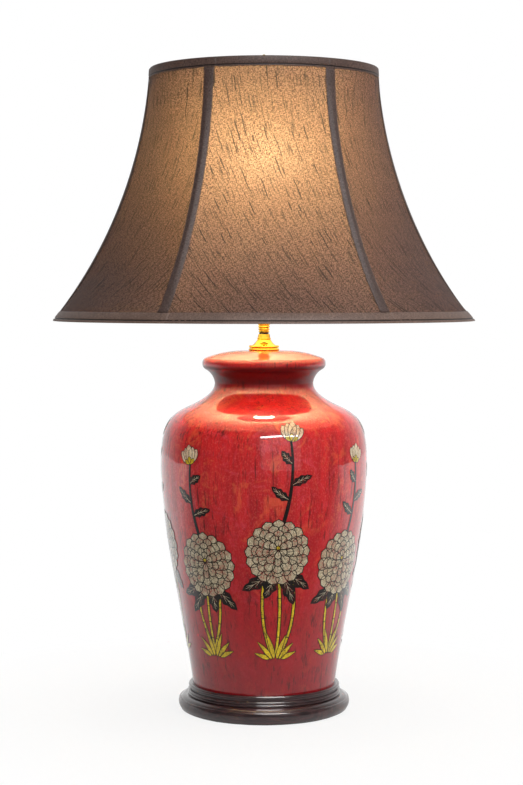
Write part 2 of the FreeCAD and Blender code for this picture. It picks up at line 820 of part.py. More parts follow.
def make_harp():
    """One bent wire from foot to foot, standing on the tabs of the saddle."""
    body = new_body("harp")
    leg_top = "tab_top + harp_leg"
    half = [
        ("harp_foot", "tab_top"),
        ("harp_foot", leg_top),
        ("harp_bow", f"{leg_top} + harp_bow_low"),
        ("harp_bow", f"{leg_top} + harp_bow_low + harp_bow_high"),
        ("harp_shoulder", "harp_wire_z"),
    ]
    other = [(f"0 - {x}", z) for x, z in half[::-1]]
    bends = ["harp_leg_bend", "harp_low_radius", "harp_high_radius", "harp_top_bend"]
    path = new_sketch(body, "XZ_Plane")
    rounded_path(path, half + other, bends + bends[::-1])
    profile = new_sketch(body, "XY_Plane", "tab_top")
    circle(profile, ("harp_foot", "0"), "harp_wire")
    pipe(body, path, profile)
    return body


def make_harp_sleeve(name, side):
    """Locking sleeve over the joint between a leg and its tab."""
    body = turned(
        name,
        ("sleeve_bore", "0"),
        line("sleeve_radius", "0"),
        line("sleeve_radius", "0.8 * sleeve_height"),
        arc(
            "sleeve_radius - 0.1",
            "0.93 * sleeve_height",
            "sleeve_bore + 0.3",
            "sleeve_height",
        ),
        line("sleeve_bore", "sleeve_height"),
    )
    place(body, x=f"{side} * harp_foot", z="arm_top")
    return body


def make_harp_stud():
    """Block on the harp wire, with the shade's rest and the threaded stud."""
    body = turned(
        "harp_stud",
        ("0", "harp_wire_z - stud_block_below"),
        line("stud_block_radius", "harp_wire_z - stud_block_below"),
        line("stud_block_radius", "shade_seat - stud_flange"),
        line("stud_flange_radius", "shade_seat - stud_flange"),
        line("stud_flange_radius", "shade_seat"),
        line("stud_radius", "shade_seat"),
        line("stud_radius", "shade_seat + stud_height - 0.6"),
        line("stud_radius - 0.6", "shade_seat + stud_height"),
        line("0", "shade_seat + stud_height"),
    )
    cross_hole(
        body, "YZ_Plane", ("0", "harp_wire_z"), "harp_wire + running_gap",
        "stud_flange_radius", "2 * stud_flange_radius",
    )
    return body


# Socket.

def make_socket_cap():
    """Spun brass cup with a threaded hub, screwed on the pipe over the saddle."""
    hub_top = "saddle_top + socket_hub_height"
    outer = "socket_radius + shell_wall + 0.1"
    inner = "socket_radius + 0.1"
    body = turned(
        "socket_cap",
        ("threaded_bore", "saddle_top"),
        line("socket_hub_radius", "saddle_top"),
        line("socket_hub_radius", "saddle_top + 0.7 * socket_hub_height"),
        arc(
            "0.85 * socket_radius",
            "saddle_top + 1.15 * socket_hub_height",
            outer,
            "shell_bottom - 0.5",
        ),
        line(outer, "socket_rim - 1.6"),
        arc(
            f"{outer} + 0.6",
            "socket_rim - 0.8",
            outer,
            "socket_rim",
        ),
        line(inner, "socket_rim"),
        line(inner, "shell_bottom - 0.3"),
        line("socket_hub_radius + 1", hub_top),
        line("threaded_bore", hub_top),
    )
    cross_hole(
        body, "YZ_Plane", ("0", "saddle_top + 0.35 * socket_hub_height"),
        "setscrew_radius + running_gap", "socket_hub_radius + 1",
        "socket_hub_radius - pipe_radius + 1",
    )
    return body


def make_setscrew():
    """Slotted set screw in the hub of the socket cap."""
    body = turned(
        "socket_set_screw",
        ("0", "pipe_radius + 0.2"),
        line("setscrew_radius", "pipe_radius + 0.2"),
        line("setscrew_radius", "socket_hub_radius + 0.6"),
        line("0", "socket_hub_radius + 0.6"),
    )
    slot = new_sketch(body, "XY_Plane", "socket_hub_radius + 0.6")
    outline(
        slot,
        ("0 - setscrew_radius", "-0.3"),
        line("setscrew_radius", "-0.3"),
        line("setscrew_radius", "0.3"),
        line("0 - setscrew_radius", "0.3"),
    )
    extrude(body, slot, "0.8", cut=True)
    turn(body, Vec(0, 1, 0), 90)
    place(body, z="saddle_top + 0.35 * socket_hub_height")
    return body


def make_socket_shell():
    """Brass shell with a bead on the cap's rim, a rolled mouth and the key's window."""
    inner = "shell_bore"
    body = turned(
        "socket_shell",
        (inner, "shell_bottom"),
        line("socket_radius", "shell_bottom"),
        line("socket_radius", "socket_rim + 0.1"),
        arc("socket_radius + 1.2", "socket_rim + 1.2", "socket_radius", "socket_rim + 2.3"),
        line("socket_radius", "shell_top - 2.2"),
        arc("socket_radius + 0.7", "shell_top - 1.1", "socket_radius - 0.4", "shell_top"),
        line("liner_bore", "shell_top"),
        line("liner_bore", "shell_top - shell_wall"),
        line(inner, "shell_top - shell_wall"),
    )
    cross_hole(
        body, "XZ_Plane", ("0", "key_z"), "key_window", "socket_radius + 2", "socket_radius",
    )
    return body


def make_socket_liner():
    """Insulating tube between the shell and the live parts."""
    body = turned(
        "socket_liner",
        *ring_section("liner_radius", "liner_bore", "shell_bottom", "shell_top - shell_wall"),
    )
    cross_hole(
        body, "XZ_Plane", ("0", "key_z"), "key_window", "socket_radius + 2", "socket_radius",
    )
    return body


def make_socket_body():
    """Moulded body with flats for the terminals and a bore for the key."""
    flat = "terminal_seat_distance"
    body = turned(
        "socket_body",
        ("0", "body_bottom"),
        line("body_radius", "body_bottom"),
        line("body_radius", "body_top"),
        line("0", "body_top"),
    )
    for step in (0, 1):
        side = ("", "0 - ")[step]
        sketch = new_sketch(body, "XZ_Plane")
        outline(
            sketch,
            (f"{side}{flat}", "body_bottom + 3"),
            line(f"{side}(body_radius + 1)", "body_bottom + 3"),
            line(f"{side}(body_radius + 1)", "body_top - 5"),
            line(f"{side}{flat}", "body_top - 5"),
        )
        extrude(body, sketch, "3 * body_radius", midplane=True, cut=True)
    cross_hole(
        body, "XZ_Plane", ("0", "key_z"), "key_shaft_radius + running_gap",
        "socket_radius", "socket_radius - key_shaft_start + 1",
    )
    return body


def make_terminal_screws():
    """Two terminal screws with domed heads on the flats of the body."""
    body = new_body("terminal_screws")
    revolve(
        body,
        ("0", "terminal_seat_distance"),
        line("terminal_radius", "terminal_seat_distance"),
        line("terminal_radius", "terminal_seat_distance + 0.6 * terminal_head"),
        arc(
            "0.55 * terminal_radius",
            "terminal_seat_distance + 0.92 * terminal_head",
            POLE,
            "terminal_seat_distance + terminal_head",
        ),
        line("0", "terminal_seat_distance + terminal_head"),
    )
    mirror = body.newObject("PartDesign::Mirrored", "terminal_screws_pair")
    mirror.Originals = [body.Tip]
    mirror.MirrorPlane = (origin_of(body, "XY_Plane"), [""])
    body.Tip = mirror
    turn(body, Vec(0, 1, 0), 90)
    place(body, z="(body_bottom + body_top) / 2 - 1")
    return body


def screw_form(base, bottom, turns, downward=False):
    """Steps along a rolled thread form, from its lower end or from its upper end."""
    steps = []
    for step in range(turns):
        start, end = (turns - step, turns - step - 1) if downward else (step, step + 1)
        steps.append(
            arc(
                f"{base} + thread_depth",
                f"{bottom} + {(start + end) / 2} * thread_pitch",
                base,
                f"{bottom} + {end} * thread_pitch",
            )
        )
    return steps


def make_screw_shell():
    """Rolled thread shell that the bulb screws into."""
    inner = "screw_shell_bore"
    outer = "screw_shell_bore + screw_shell_wall"
    start = "body_top + 1"
    thread_end = f"{start} + {SHELL_TURNS} * thread_pitch"
    return turned(
        "screw_shell",
        (inner, "body_top"),
        line(outer, "body_top"),
        line(outer, start),
        *screw_form(outer, start, SHELL_TURNS),
        line(outer, f"{thread_end} + 3"),
        line(inner, f"{thread_end} + 3"),
        line(inner, thread_end),
        *screw_form(inner, start, SHELL_TURNS, downward=True),
    )


def make_centre_contact():
    """Sprung brass contact on the socket's floor."""
    return turned(
        "centre_contact",
        ("0", "body_top"),
        line("5", "body_top"),
        line("5", "body_top + 0.6"),
        line("2.6", "body_top + 0.9"),
        arc("1.6", "contact_top - 0.15", POLE, "contact_top"),
        line("0", "contact_top"),
    )


def make_switch_key():
    """Turn key: a round shaft and a flat thumb piece. It is drawn upright and turned to the front."""
    body = turned(
        "switch_key",
        ("0", "key_shaft_start"),
        line("key_shaft_radius", "key_shaft_start"),
        line("key_shaft_radius", "key_shaft_end"),
        line("0", "key_shaft_end"),
    )
    sketch = new_sketch(body, "YZ_Plane")
    half = "key_knob_width / 2"
    outline(
        sketch,
        ("0 - key_shaft_radius - 1", "key_shaft_end - 3"),
        line("key_shaft_radius + 1", "key_shaft_end - 3"),
        arc(
            half,
            "key_shaft_end - 3 + 0.5 * key_knob_length",
            f"{half} - 2.2",
            "key_shaft_end - 3 + key_knob_length",
        ),
        arc(
            "0",
            "key_shaft_end - 3.6 + key_knob_length",
            f"2.2 - {half}",
            "key_shaft_end - 3 + key_knob_length",
        ),
        arc(
            f"0 - {half}",
            "key_shaft_end - 3 + 0.5 * key_knob_length",
            "0 - key_shaft_radius - 1",
            "key_shaft_end - 3",
        ),
    )
    extrude(body, sketch, "key_knob_thickness", midplane=True)
    turn(body, Vec(1, 0, 0), 90)
    place(body, z="key_z")
    return body


# Bulb.

def globe_point(angle, wall):
    """A point on the bulb's globe, an angle above its middle, inside a wall."""
    turned_by = math.radians(angle)
    radius = f"(bulb_globe_radius - {wall})"
    return (
        f"{radius} * {math.cos(turned_by):.6f}",
        f"globe_z + {radius} * {math.sin(turned_by):.6f}",
    )


def make_bulb_glass():
    neck_end = "bulb_cap_top + bulb_neck_length"
    join = -35
    waist = (
        "bulb_neck_radius + bulb_waist_swell",
        f"0.47 * globe_z + 0.53 * ({neck_end}) - bulb_waist_drop",
    )
    inner_waist = (f"{waist[0]} - bulb_wall", waist[1])
    inner_neck = "bulb_neck_radius - bulb_wall"
    return turned(
        "bulb_glass",
        (inner_neck, "bulb_cap_top"),
        line("bulb_neck_radius", "bulb_cap_top"),
        line("bulb_neck_radius", neck_end),
        ("arc", waist, globe_point(join, "0")),
        ("arc", globe_point(25, "0"), globe_point(CROWN, "0")),
        line("0", globe_point(CROWN, "0")[1]),
        line("0", globe_point(CROWN, "bulb_wall")[1]),
        ("line", globe_point(CROWN, "bulb_wall")),
        ("arc", globe_point(25, "bulb_wall"), globe_point(join, "bulb_wall")),
        ("arc", inner_waist, (inner_neck, neck_end)),
    )


def make_bulb_cap():
    """Threaded aluminium cap of the bulb."""
    root = "bulb_cap_radius - thread_depth"
    start = "bulb_cap_bottom + 2"
    return turned(
        "bulb_cap",
        ("bulb_tip_radius + 5", "bulb_cap_bottom"),
        arc(f"{root} - 0.4", "bulb_cap_bottom + 0.7", root, start),
        *screw_form(root, start, BULB_TURNS),
        line(root, "bulb_cap_top - 1"),
        line("bulb_neck_radius - 0.2", "bulb_cap_top"),
        line("bulb_neck_radius - bulb_wall", "bulb_cap_top"),
        line("bulb_tip_radius + 5", "bulb_cap_top - 4"),
    )


def make_bulb_insulator():
    return turned(
        "bulb_insulator",
        ("0", "bulb_bottom + bulb_tip_height"),
        line("bulb_tip_radius + 1", "bulb_bottom + bulb_tip_height"),
        line("bulb_tip_radius + 4.8", "bulb_cap_bottom"),
        line("bulb_tip_radius + 4.8", "bulb_cap_bottom + 2"),
        line("0", "bulb_cap_bottom + 2"),
    )


def make_bulb_contact():
    return turned(
        "bulb_contact",
        ("0", "bulb_bottom"),
        line(POLE, "bulb_bottom"),
        arc(
            "0.7 * bulb_tip_radius",
            "bulb_bottom + 0.35 * bulb_tip_height",
            "bulb_tip_radius",
            "bulb_bottom + bulb_tip_height",
        ),
        line("0", "bulb_bottom + bulb_tip_height"),
    )


# Shade frame. Wires follow the bell curve at a depth inside the fabric.

def make_wire_ring(name, height):
    """Round wire ring of the shade."""
    body = new_body(name)
    sketch = new_sketch(body, "XZ_Plane")
    circle(sketch, (bell(height, "ring_depth"), height), "ring_wire")
    feature = body.newObject("PartDesign::Revolution", name + "_turned")
    feature.Profile = sketch
    feature.ReferenceAxis = (sketch, ["V_Axis"])
    feature.Angle = 360
    return body


def make_ribs():
    """Curved wires welded between the two rings, one under each seam."""
    body = new_body("shade_ribs")
    top = "top_ring_z - ring_wire - weld_gap"
    bottom = "bottom_ring_z + ring_wire + weld_gap"
    middle = "(top_ring_z + bottom_ring_z) / 2"
    points = [(bell(z, "rib_depth"), z) for z in (top, middle, bottom)]
    path = new_sketch(body, "XZ_Plane")
    rules = []
    edge = add_arc(path, rules, *points)
    for point in (points[0], points[2]):
        pin(rules, edge, end_near(path, edge, at(point)), point)
    apply(path, rules)
    profile = new_sketch(body, "XY_Plane", top)
    circle(profile, (bell(top, "rib_depth"), "0"), "rib_wire")
    around(body, [pipe(body, path, profile)], PANELS)
    turn(body, Vec(0, 0, 1), SEAM_ANGLE)
    return body


def make_spider():
    """Washer on three bent arms that reach the top ring."""
    body = new_body("shade_spider")
    arm_z = "shade_seat + spider_hub_thickness - spider_step - spider_wire"
    end = bell("top_ring_z", "ring_depth") + " - ring_wire - weld_gap"
    path = new_sketch(body, "XZ_Plane")
    rounded_path(
        path,
        [
            (end, "top_ring_z"),
            ("spider_drop_start", "top_ring_z"),
            ("spider_drop_end", arm_z),
            ("spider_hub_radius - 2", arm_z),
        ],
        ["spider_bend", "spider_bend"],
    )
    profile = new_sketch(body, "YZ_Plane", end)
    circle(profile, ("0", "top_ring_z"), "spider_wire")
    arm = pipe(body, path, profile)
    around(body, [arm], SPIDER_ARMS)
    washer = new_sketch(body, "XY_Plane", "shade_seat")
    circle(washer, ("0", "0"), "spider_hub_radius")
    extrude(body, washer, "spider_hub_thickness")
    under = new_sketch(body, "XY_Plane", "shade_seat")
    circle(under, ("0", "0"), "spider_hub_radius + 2")
    extrude(body, under, "2 * spider_wire", cut=True)
    hole = new_sketch(body, "XY_Plane", "shade_seat + 2 * spider_hub_thickness")
    circle(hole, ("0", "0"), "stud_radius + running_gap")
    extrude(body, hole, "4 * spider_hub_thickness", cut=True)
    turn(body, Vec(0, 0, 1), SEAM_ANGLE)
    return body


# Shade cover. Between two ribs each level of a gore is one arc, round at the rings and
# nearly flat in the middle, as stretched cloth is. A level is a height and a flatness.

COVER_LEVELS = [
    ("cover_top", 0.0),
    ("shade_top - trim_width", 0.04),
    ("cover_top - 0.15 * shade_height", 0.50),
    ("cover_top - 0.32 * shade_height", 0.90),
    ("cover_top - 0.54 * shade_height", 1.0),
    ("cover_top - 0.76 * shade_height", 0.88),
    ("cover_top - 0.90 * shade_height", 0.36),
    ("shade_bottom + trim_width", 0.06),
    ("cover_bottom", 0.0),
]
HALF_PANEL = math.radians(180.0 / PANELS)


def polar(radius, angle):
    """A point at a radius text and an angle in radians."""
    return (f"{radius} * {math.cos(angle):.6f}", f"{radius} * {math.sin(angle):.6f}")


def gore_section(body, z, flatness, outside, inside):
    """Cross-section of one gore: an outer and an inner arc joined along the ribs."""
    sketch = new_sketch(body, "XY_Plane", z)
    kept = f"(1 - {1 - math.cos(HALF_PANEL):.6f} * panel_sag * {flatness})"
    outer = bell(z, outside)
    inner = bell(z, inside)
    outline(
        sketch,
        polar(outer, 0),
        ("arc", polar(f"{outer} * {kept}", HALF_PANEL), polar(outer, 2 * HALF_PANEL)),
        ("line", polar(inner, 2 * HALF_PANEL)),
        ("arc", polar(f"{inner} * {kept}", HALF_PANEL), polar(inner, 0)),
    )
    return sketch


def trim_section(body, z, flatness, outside, inside):
    """Cross-section of the tape over a rib: two flaps that lie on the two gores."""
    sketch = new_sketch(body, "XY_Plane", z)
    rise = f"({math.tan(HALF_PANEL / 2):.6f} * (1 - panel_sag * {flatness}))"
    flat, lean = math.cos(HALF_PANEL), math.sin(HALF_PANEL)
    along = f"(({flat:.6f} * (1 - {rise} ^ 2) + {lean:.6f} * 2 * {rise}) / (1 + {rise} ^ 2))"
    down = f"(({lean:.6f} * (1 - {rise} ^ 2) - {flat:.6f} * 2 * {rise}) / (1 + {rise} ^ 2))"
    drop = f"rib_trim_width / 2 * {down}"
    side = f"rib_trim_width / 2 * {along}"
    outer = bell(z, outside)
    inner = bell(z, inside)
    outline(
        sketch,
        (outer, "0"),
        line(f"{outer} - {drop}", side),
        line(f"{inner} - {drop}", side),
        line(inner, "0"),
        line(f"{inner} - {drop}", f"0 - {side}"),
        line(f"{outer} - {drop}", f"0 - {side}"),
    )
    return sketch


def loft_round(name, section, levels, outside, inside):
    """Loft one strip of the shade through its levels and repeat it round the frame."""
    body = new_body(name)
    sections = [section(body, z, flatness, outside, inside) for z, flatness in levels]
    feature = body.newObject("PartDesign::AdditiveLoft", name + "_loft")
    feature.Profile = sections[0]
    feature.Sections = sections[1:]
    feature.Ruled = False
    around(body, [feature], PANELS)
    turn(body, Vec(0, 0, 1), SEAM_ANGLE)
    return body


def make_shade_cover():
    """Cloth cover of six gores, open at both ends."""
    return loft_round("shade_cover", gore_section, COVER_LEVELS, "0", "fabric_thickness")


def make_rib_trims():
    """Tape over each seam, between the two bands."""
    return loft_round(
        "rib_trims", trim_section, COVER_LEVELS[1:-1], "trim_depth", "0 - trim_gap"
    )


def make_trim_band(name, edge, inward):
    """Tape round an edge of the shade: outside, over the edge, and down inside the ring."""
    far = f"({edge} {inward} trim_width)"
    lip = f"({edge} {inward} trim_thickness)"
    fold = f"({edge} {inward} trim_fold)"
    near_gap = "0 - trim_gap"
    inside = "(ring_depth + ring_wire + trim_gap)"
    back = "(ring_depth + ring_wire + trim_gap + trim_thickness)"
    return turned(
        name,
        (bell(far, near_gap), far),
        line(bell(far, "trim_depth"), far),
        line(bell(lip, "trim_depth"), lip),
        line(bell(edge, "0"), edge),
        line(bell(edge, inside), edge),
        line(bell(lip, back), lip),
        line(bell(fold, back), fold),
        line(bell(fold, inside), fold),
        line(bell(lip, inside), lip),
        line(bell(lip, near_gap), lip),
    )


def make_top_trim():
    """The upper band, with slots in its inner flap for the spider's arms."""
    body = make_trim_band("top_trim", "shade_top", "-")
    half = "(spider_wire + seat_gap)"
    slot = new_sketch(body, "YZ_Plane", bell("top_ring_z", "ring_depth") + " - ring_wire")
    outline(
        slot,
        (f"0 - {half}", "shade_top - 2 * trim_fold"),
        line(half, "shade_top - 2 * trim_fold"),
        line(half, f"top_ring_z + {half}"),
        line(f"0 - {half}", f"top_ring_z + {half}"),
    )
    around(body, [extrude(body, slot, "4 * trim_thickness", cut=True)], SPIDER_ARMS)
    turn(body, Vec(0, 0, 1), SEAM_ANGLE)
    return body


def make_finial():
    """Turned brass finial with a blind thread."""
    foot = "shade_seat + spider_hub_thickness"
    bore = "stud_radius + running_gap"
    tall = "finial_height"
    return turned(
        "finial",
        (bore, foot),
        line("finial_foot_radius - 0.4", foot),
        arc("finial_foot_radius", f"{foot} + 1.2", "finial_foot_radius - 0.5", f"{foot} + 2.4"),
        line("finial_stem_radius", f"{foot} + 2.8"),
        line("finial_stem_radius", f"{foot} + 4.4"),
        arc(
            "finial_belly_radius",
            f"{foot} + 0.42 * {tall}",
            "0.55 * finial_belly_radius",
            f"{foot} + 0.68 * {tall}",
        ),
        line("0.36 * finial_belly_radius", f"{foot} + 0.72 * {tall}"),
        arc("0.4 * finial_belly_radius", f"{foot} + 0.86 * {tall}", POLE, f"{foot} + {tall}"),
        line("0", f"{foot} + {tall}"),
        line("0", f"{foot} + finial_thread"),
        line(bore, f"{foot} + finial_thread"),
    )


# Building, checking and writing.

PARTS = [
    make_felt_pad(),
    make_plinth(),
    make_cord_grommet(),
    make_bottom_washer(),
    make_bottom_nut(),
    make_lamp_pipe(),
    make_jar(),
    make_vase_cap(),
    make_neck_collar(),
    make_neck_spindle(),
    make_harp_saddle(),
    make_harp(),
    make_harp_sleeve("harp_sleeve_right", "1"),
    make_harp_sleeve("harp_sleeve_left", "-1"),
    make_harp_stud(),
    make_socket_cap(),
    make_setscrew(),
    make_socket_shell(),
    make_socket_liner(),
    make_socket_body(),
    make_terminal_screws(),
    make_screw_shell(),
    make_centre_contact(),
    make_switch_key(),
    make_bulb_glass(),
    make_bulb_cap(),
    make_bulb_insulator(),
    make_bulb_contact(),
    make_wire_ring("shade_top_ring", "top_ring_z"),
    make_wire_ring("shade_bottom_ring", "bottom_ring_z"),
    make_ribs(),
    make_spider(),
    make_shade_cover(),
    make_rib_trims(),
    make_top_trim(),
    make_trim_band("bottom_trim", "shade_bottom", "+"),
    make_finial(),
]

doc.recompute()
for feature in doc.Objects:
    if "Invalid" in feature.State or "Error" in feature.State:
        raise RuntimeError(f"{feature.Label} failed: {feature.State}")

os.makedirs("parts", exist_ok=True)
for part in PARTS:
    if part.Shape.isNull() or not part.Shape.isValid():
        raise RuntimeError(f"{part.Label} has no valid shape")
    part.Shape.exportStep(os.path.join("parts", part.Label + ".step"))
    print(f"{part.Label}: {len(part.Shape.Solids)} solid(s), {part.Shape.Volume / 1000:.2f} cm3")
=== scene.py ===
import math

import bpy
import numpy as np
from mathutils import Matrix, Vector


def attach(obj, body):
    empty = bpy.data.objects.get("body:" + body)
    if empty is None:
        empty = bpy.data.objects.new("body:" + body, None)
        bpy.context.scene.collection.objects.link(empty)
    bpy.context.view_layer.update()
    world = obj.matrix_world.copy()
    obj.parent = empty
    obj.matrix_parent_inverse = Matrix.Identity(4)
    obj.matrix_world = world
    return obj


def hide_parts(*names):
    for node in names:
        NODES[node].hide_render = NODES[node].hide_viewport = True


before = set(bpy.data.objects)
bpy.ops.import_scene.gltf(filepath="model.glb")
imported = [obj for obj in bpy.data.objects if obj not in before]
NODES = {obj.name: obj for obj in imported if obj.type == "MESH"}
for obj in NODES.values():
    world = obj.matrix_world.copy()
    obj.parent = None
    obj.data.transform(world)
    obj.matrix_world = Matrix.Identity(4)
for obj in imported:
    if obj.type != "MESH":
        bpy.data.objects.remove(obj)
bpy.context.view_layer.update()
MM = 0.001


# Colours are written as on a screen, 0 to 255.

def rgb(red, green, blue):
    def linear(value):
        share = value / 255
        return share / 12.92 if share <= 0.04045 else ((share + 0.055) / 1.055) ** 2.4

    return (linear(red), linear(green), linear(blue), 1.0)


# Materials.

class Paint:
    """A material whose nodes are added one by one."""

    def __init__(self, name):
        self.material = bpy.data.materials.new(name)
        self.material.use_nodes = True
        self.tree = self.material.node_tree
        self.tree.nodes.clear()

    def add(self, kind, inputs=None, **settings):
        node = self.tree.nodes.new("ShaderNode" + kind)
        for key, value in settings.items():
            setattr(node, key, value)
        for key, value in (inputs or {}).items():
            if isinstance(value, bpy.types.NodeSocket):
                self.tree.links.new(value, node.inputs[key])
            else:
                node.inputs[key].default_value = value
        return node

    def place(self, scale):
        """Coordinates in metres times a scale."""
        source = self.add("TexCoord").outputs["Object"]
        return self.add("Mapping", {"Vector": source, "Scale": scale}).outputs["Vector"]

    def axis(self, letter):
        """Place along one axis, in metres."""
        source = self.add("TexCoord").outputs["Object"]
        return self.add("SeparateXYZ", {"Vector": source}).outputs[letter]

    def noise(self, vector, detail=2.0, rough=0.5, distortion=0.0):
        node = self.add(
            "TexNoise",
            {"Vector": vector, "Scale": 1.0, "Detail": detail, "Roughness": rough,
             "Distortion": distortion},
        )
        return node.outputs["Fac"]

    def band(self, value, low, high, start=0.0, end=1.0):
        """A value from low to high spread over start to end, and held outside."""
        return self.add(
            "MapRange",
            {"Value": value, "From Min": low, "From Max": high, "To Min": start, "To Max": end},
        ).outputs["Result"]

    def maths(self, operation, first, second=0.0, third=None):
        node = self.add("Math", operation=operation)
        values = (first, second) if third is None else (first, second, third)
        for socket, value in zip(node.inputs, values):
            if isinstance(value, bpy.types.NodeSocket):
                self.tree.links.new(value, socket)
            else:
                socket.default_value = value
        return node.outputs["Value"]

    def mix(self, share, first, second):
        node = self.add("MixRGB", {"Fac": share, "Color1": first, "Color2": second})
        return node.outputs["Color"]

    def bump(self, height, distance, strength):
        return self.add(
            "Bump", {"Height": height, "Distance": distance, "Strength": strength}
        ).outputs["Normal"]

    def principled(self, inputs):
        return self.add("BsdfPrincipled", inputs).outputs["BSDF"]

    def finish(self, shader):
        output = self.add("OutputMaterial")
        self.tree.links.new(shader, output.inputs["Surface"])
        return self.material


def cloth_coordinates(paint, across, along, layer="cloth"):
    """Places on the flat cloth in metres, times a scale across and along it."""
    source = paint.add("UVMap", uv_map=layer).outputs["UV"]
    return paint.add("Mapping", {"Vector": source, "Scale": (across, along, 1)}).outputs["Vector"]


def slubs(paint, across, along, width, longest):
    """One thick thread end in each cell of a loose grid, across and along in cells a metre."""
    place = cloth_coordinates(paint, across, along)
    waver = paint.noise(cloth_coordinates(paint, across, 4 * along), detail=1.0)
    cells = paint.add(
        "TexVoronoi", {"Vector": place, "Scale": 1.0, "Randomness": 1.0}, voronoi_dimensions="2D"
    )
    off = paint.add(
        "VectorMath", {0: place, 1: cells.outputs["Position"]}, operation="SUBTRACT"
    ).outputs["Vector"]
    off = paint.add("SeparateXYZ", {"Vector": off}).outputs
    chance = paint.add("SeparateColor", {"Color": cells.outputs["Color"]}).outputs
    sideways = paint.maths("MULTIPLY_ADD", waver, 3 * width, off["X"])
    sideways = paint.maths("ABSOLUTE", paint.maths("SUBTRACT", sideways, 1.5 * width))
    thin = paint.band(sideways, 0.6 * width, width, 1.0, 0.0)
    length = paint.band(chance["Red"], 0.0, 1.0, 0.12 * longest, longest)
    end = paint.maths("DIVIDE", paint.maths("ABSOLUTE", off["Y"]), length)
    dark = paint.band(chance["Green"], 0.2, 0.7, 0.45, 1.0)
    shape = paint.maths("MULTIPLY", thin, paint.band(end, 0.6, 1.0, 1.0, 0.0))
    return paint.maths("MULTIPLY", shape, dark)


def silk():
    """Brown slubbed silk that lets the lamp's light through, with a pale lining."""
    paint = Paint("shade_silk")
    weft = paint.noise(cloth_coordinates(paint, 330, 1500, "weave"), detail=0.0)
    warp = paint.noise(cloth_coordinates(paint, 1500, 330, "weave"), detail=0.0)
    speck = paint.noise(cloth_coordinates(paint, 1250, 1100, "weave"), detail=0.0)
    weave = paint.maths("ADD", paint.maths("ADD", weft, warp), speck)
    cloud = paint.noise(cloth_coordinates(paint, 26, 11, "weave"), detail=2.0)
    thin = paint.band(paint.noise(cloth_coordinates(paint, 800, 42), detail=0.0), 0.64, 0.72, 0, 0.7)
    short, long = slubs(paint, 95, 24, 0.08, 0.36), slubs(paint, 60, 17, 0.045, 0.3)
    slub = paint.maths("MAXIMUM", short, long)
    slub = paint.maths("MAXIMUM", slub, thin)
    grain = paint.band(weave, 1.34, 1.66)
    outer = paint.mix(grain, rgb(70, 46, 39), rgb(127, 90, 78))
    outer = paint.mix(paint.band(slub, 0, 1, 0, 0.9), outer, rgb(34, 25, 22))
    outer = paint.mix(paint.add("NewGeometry").outputs["Backfacing"], outer, rgb(254, 244, 222))
    glow = paint.mix(grain, rgb(84, 46, 20), rgb(255, 220, 152))
    glow = paint.mix(paint.band(cloud, 0.3, 0.7, 0.0, 0.3), glow, rgb(196, 138, 82))
    glow = paint.mix(paint.band(slub, 0, 1, 0, 0.96), glow, rgb(34, 18, 10))
    bare = paint.mix(grain, rgb(190, 150, 104), rgb(255, 252, 244))
    bare = paint.mix(paint.band(slub, 0, 1, 0, 0.96), bare, rgb(40, 22, 12))
    normal = paint.bump(paint.maths("ADD", weave, paint.maths("MULTIPLY", slub, 2.0)), 0.00015, 0.5)
    cloth = paint.principled(
        {"Base Color": outer, "Roughness": 0.7, "Normal": normal, "Specular IOR Level": 0.2,
         "Sheen Weight": 0.04, "Sheen Roughness": 0.5}
    )
    through = paint.add("BsdfTranslucent", {"Color": glow, "Normal": normal}).outputs["BSDF"]
    wide = paint.principled(
        {"Base Color": glow, "Roughness": 1.0, "IOR": 4.0, "Transmission Weight": 1.0,
         "Coat Weight": 1.0, "Coat Roughness": 0.5, "Coat IOR": 1.0,
         "Coat Tint": (0.44, 0.41, 0.38, 1)}
    )
    narrow = paint.add(
        "BsdfRefraction", {"Color": bare, "Roughness": 0.85, "IOR": 1.35}
    ).outputs["BSDF"]
    forward = paint.add("MixShader", {"Fac": 0.014, 1: wide, 2: narrow}).outputs["Shader"]
    light = paint.add("MixShader", {"Fac": 0.96, 1: through, 2: forward}).outputs["Shader"]
    return paint.finish(paint.add("MixShader", {"Fac": 0.188, 1: cloth, 2: light}).outputs["Shader"])


def tape(name, fold=None, dark=rgb(62, 46, 41), pale=rgb(108, 85, 77)):
    """Folded tape of the shade's edges and seams. fold says where across it the painted fold shadow
    and its stitching lie.
    """
    paint = Paint(name)
    weft = paint.noise(cloth_coordinates(paint, 300, 2300), detail=1.0)
    warp = paint.noise(cloth_coordinates(paint, 2300, 300), detail=1.0)
    worn = paint.noise(cloth_coordinates(paint, 60, 60), detail=3.0)
    weave = paint.maths("MULTIPLY", paint.maths("ADD", weft, warp), 0.5)
    colour = paint.mix(paint.band(weave, 0.38, 0.62), dark, pale)
    colour = paint.mix(paint.band(worn, 0.35, 0.7, 0, 0.35), colour, dark)
    # A dark line along the fold: painted fold shadow, with the stitching thread.
    if fold:
        low, high = fold[0] * MM, fold[1] * MM
        edge = (high - low) / 4
        across = paint.add("SeparateXYZ", {"Vector": cloth_coordinates(paint, 1, 1)}).outputs["Y"]
        ripple = paint.noise(cloth_coordinates(paint, 45, 0), detail=1.0)
        across = paint.maths("SUBTRACT", across, 0.4 * MM)
        across = paint.maths("MULTIPLY_ADD", ripple, 0.8 * MM, across)
        past_low = paint.band(across, low - edge, low + edge)
        before_high = paint.band(across, high + edge, high - edge)
        line = paint.maths("MULTIPLY", past_low, before_high)
        colour = paint.mix(paint.band(line, 0, 1, 0, 0.85), colour, rgb(26, 18, 16))
    shader = paint.principled(
        {"Base Color": colour, "Roughness": 0.55, "Specular IOR Level": 0.3,
         "Sheen Weight": 0.05, "Sheen Roughness": 0.4, "Normal": paint.bump(weave, 0.00015, 0.5)}
    )
    return paint.finish(shader)


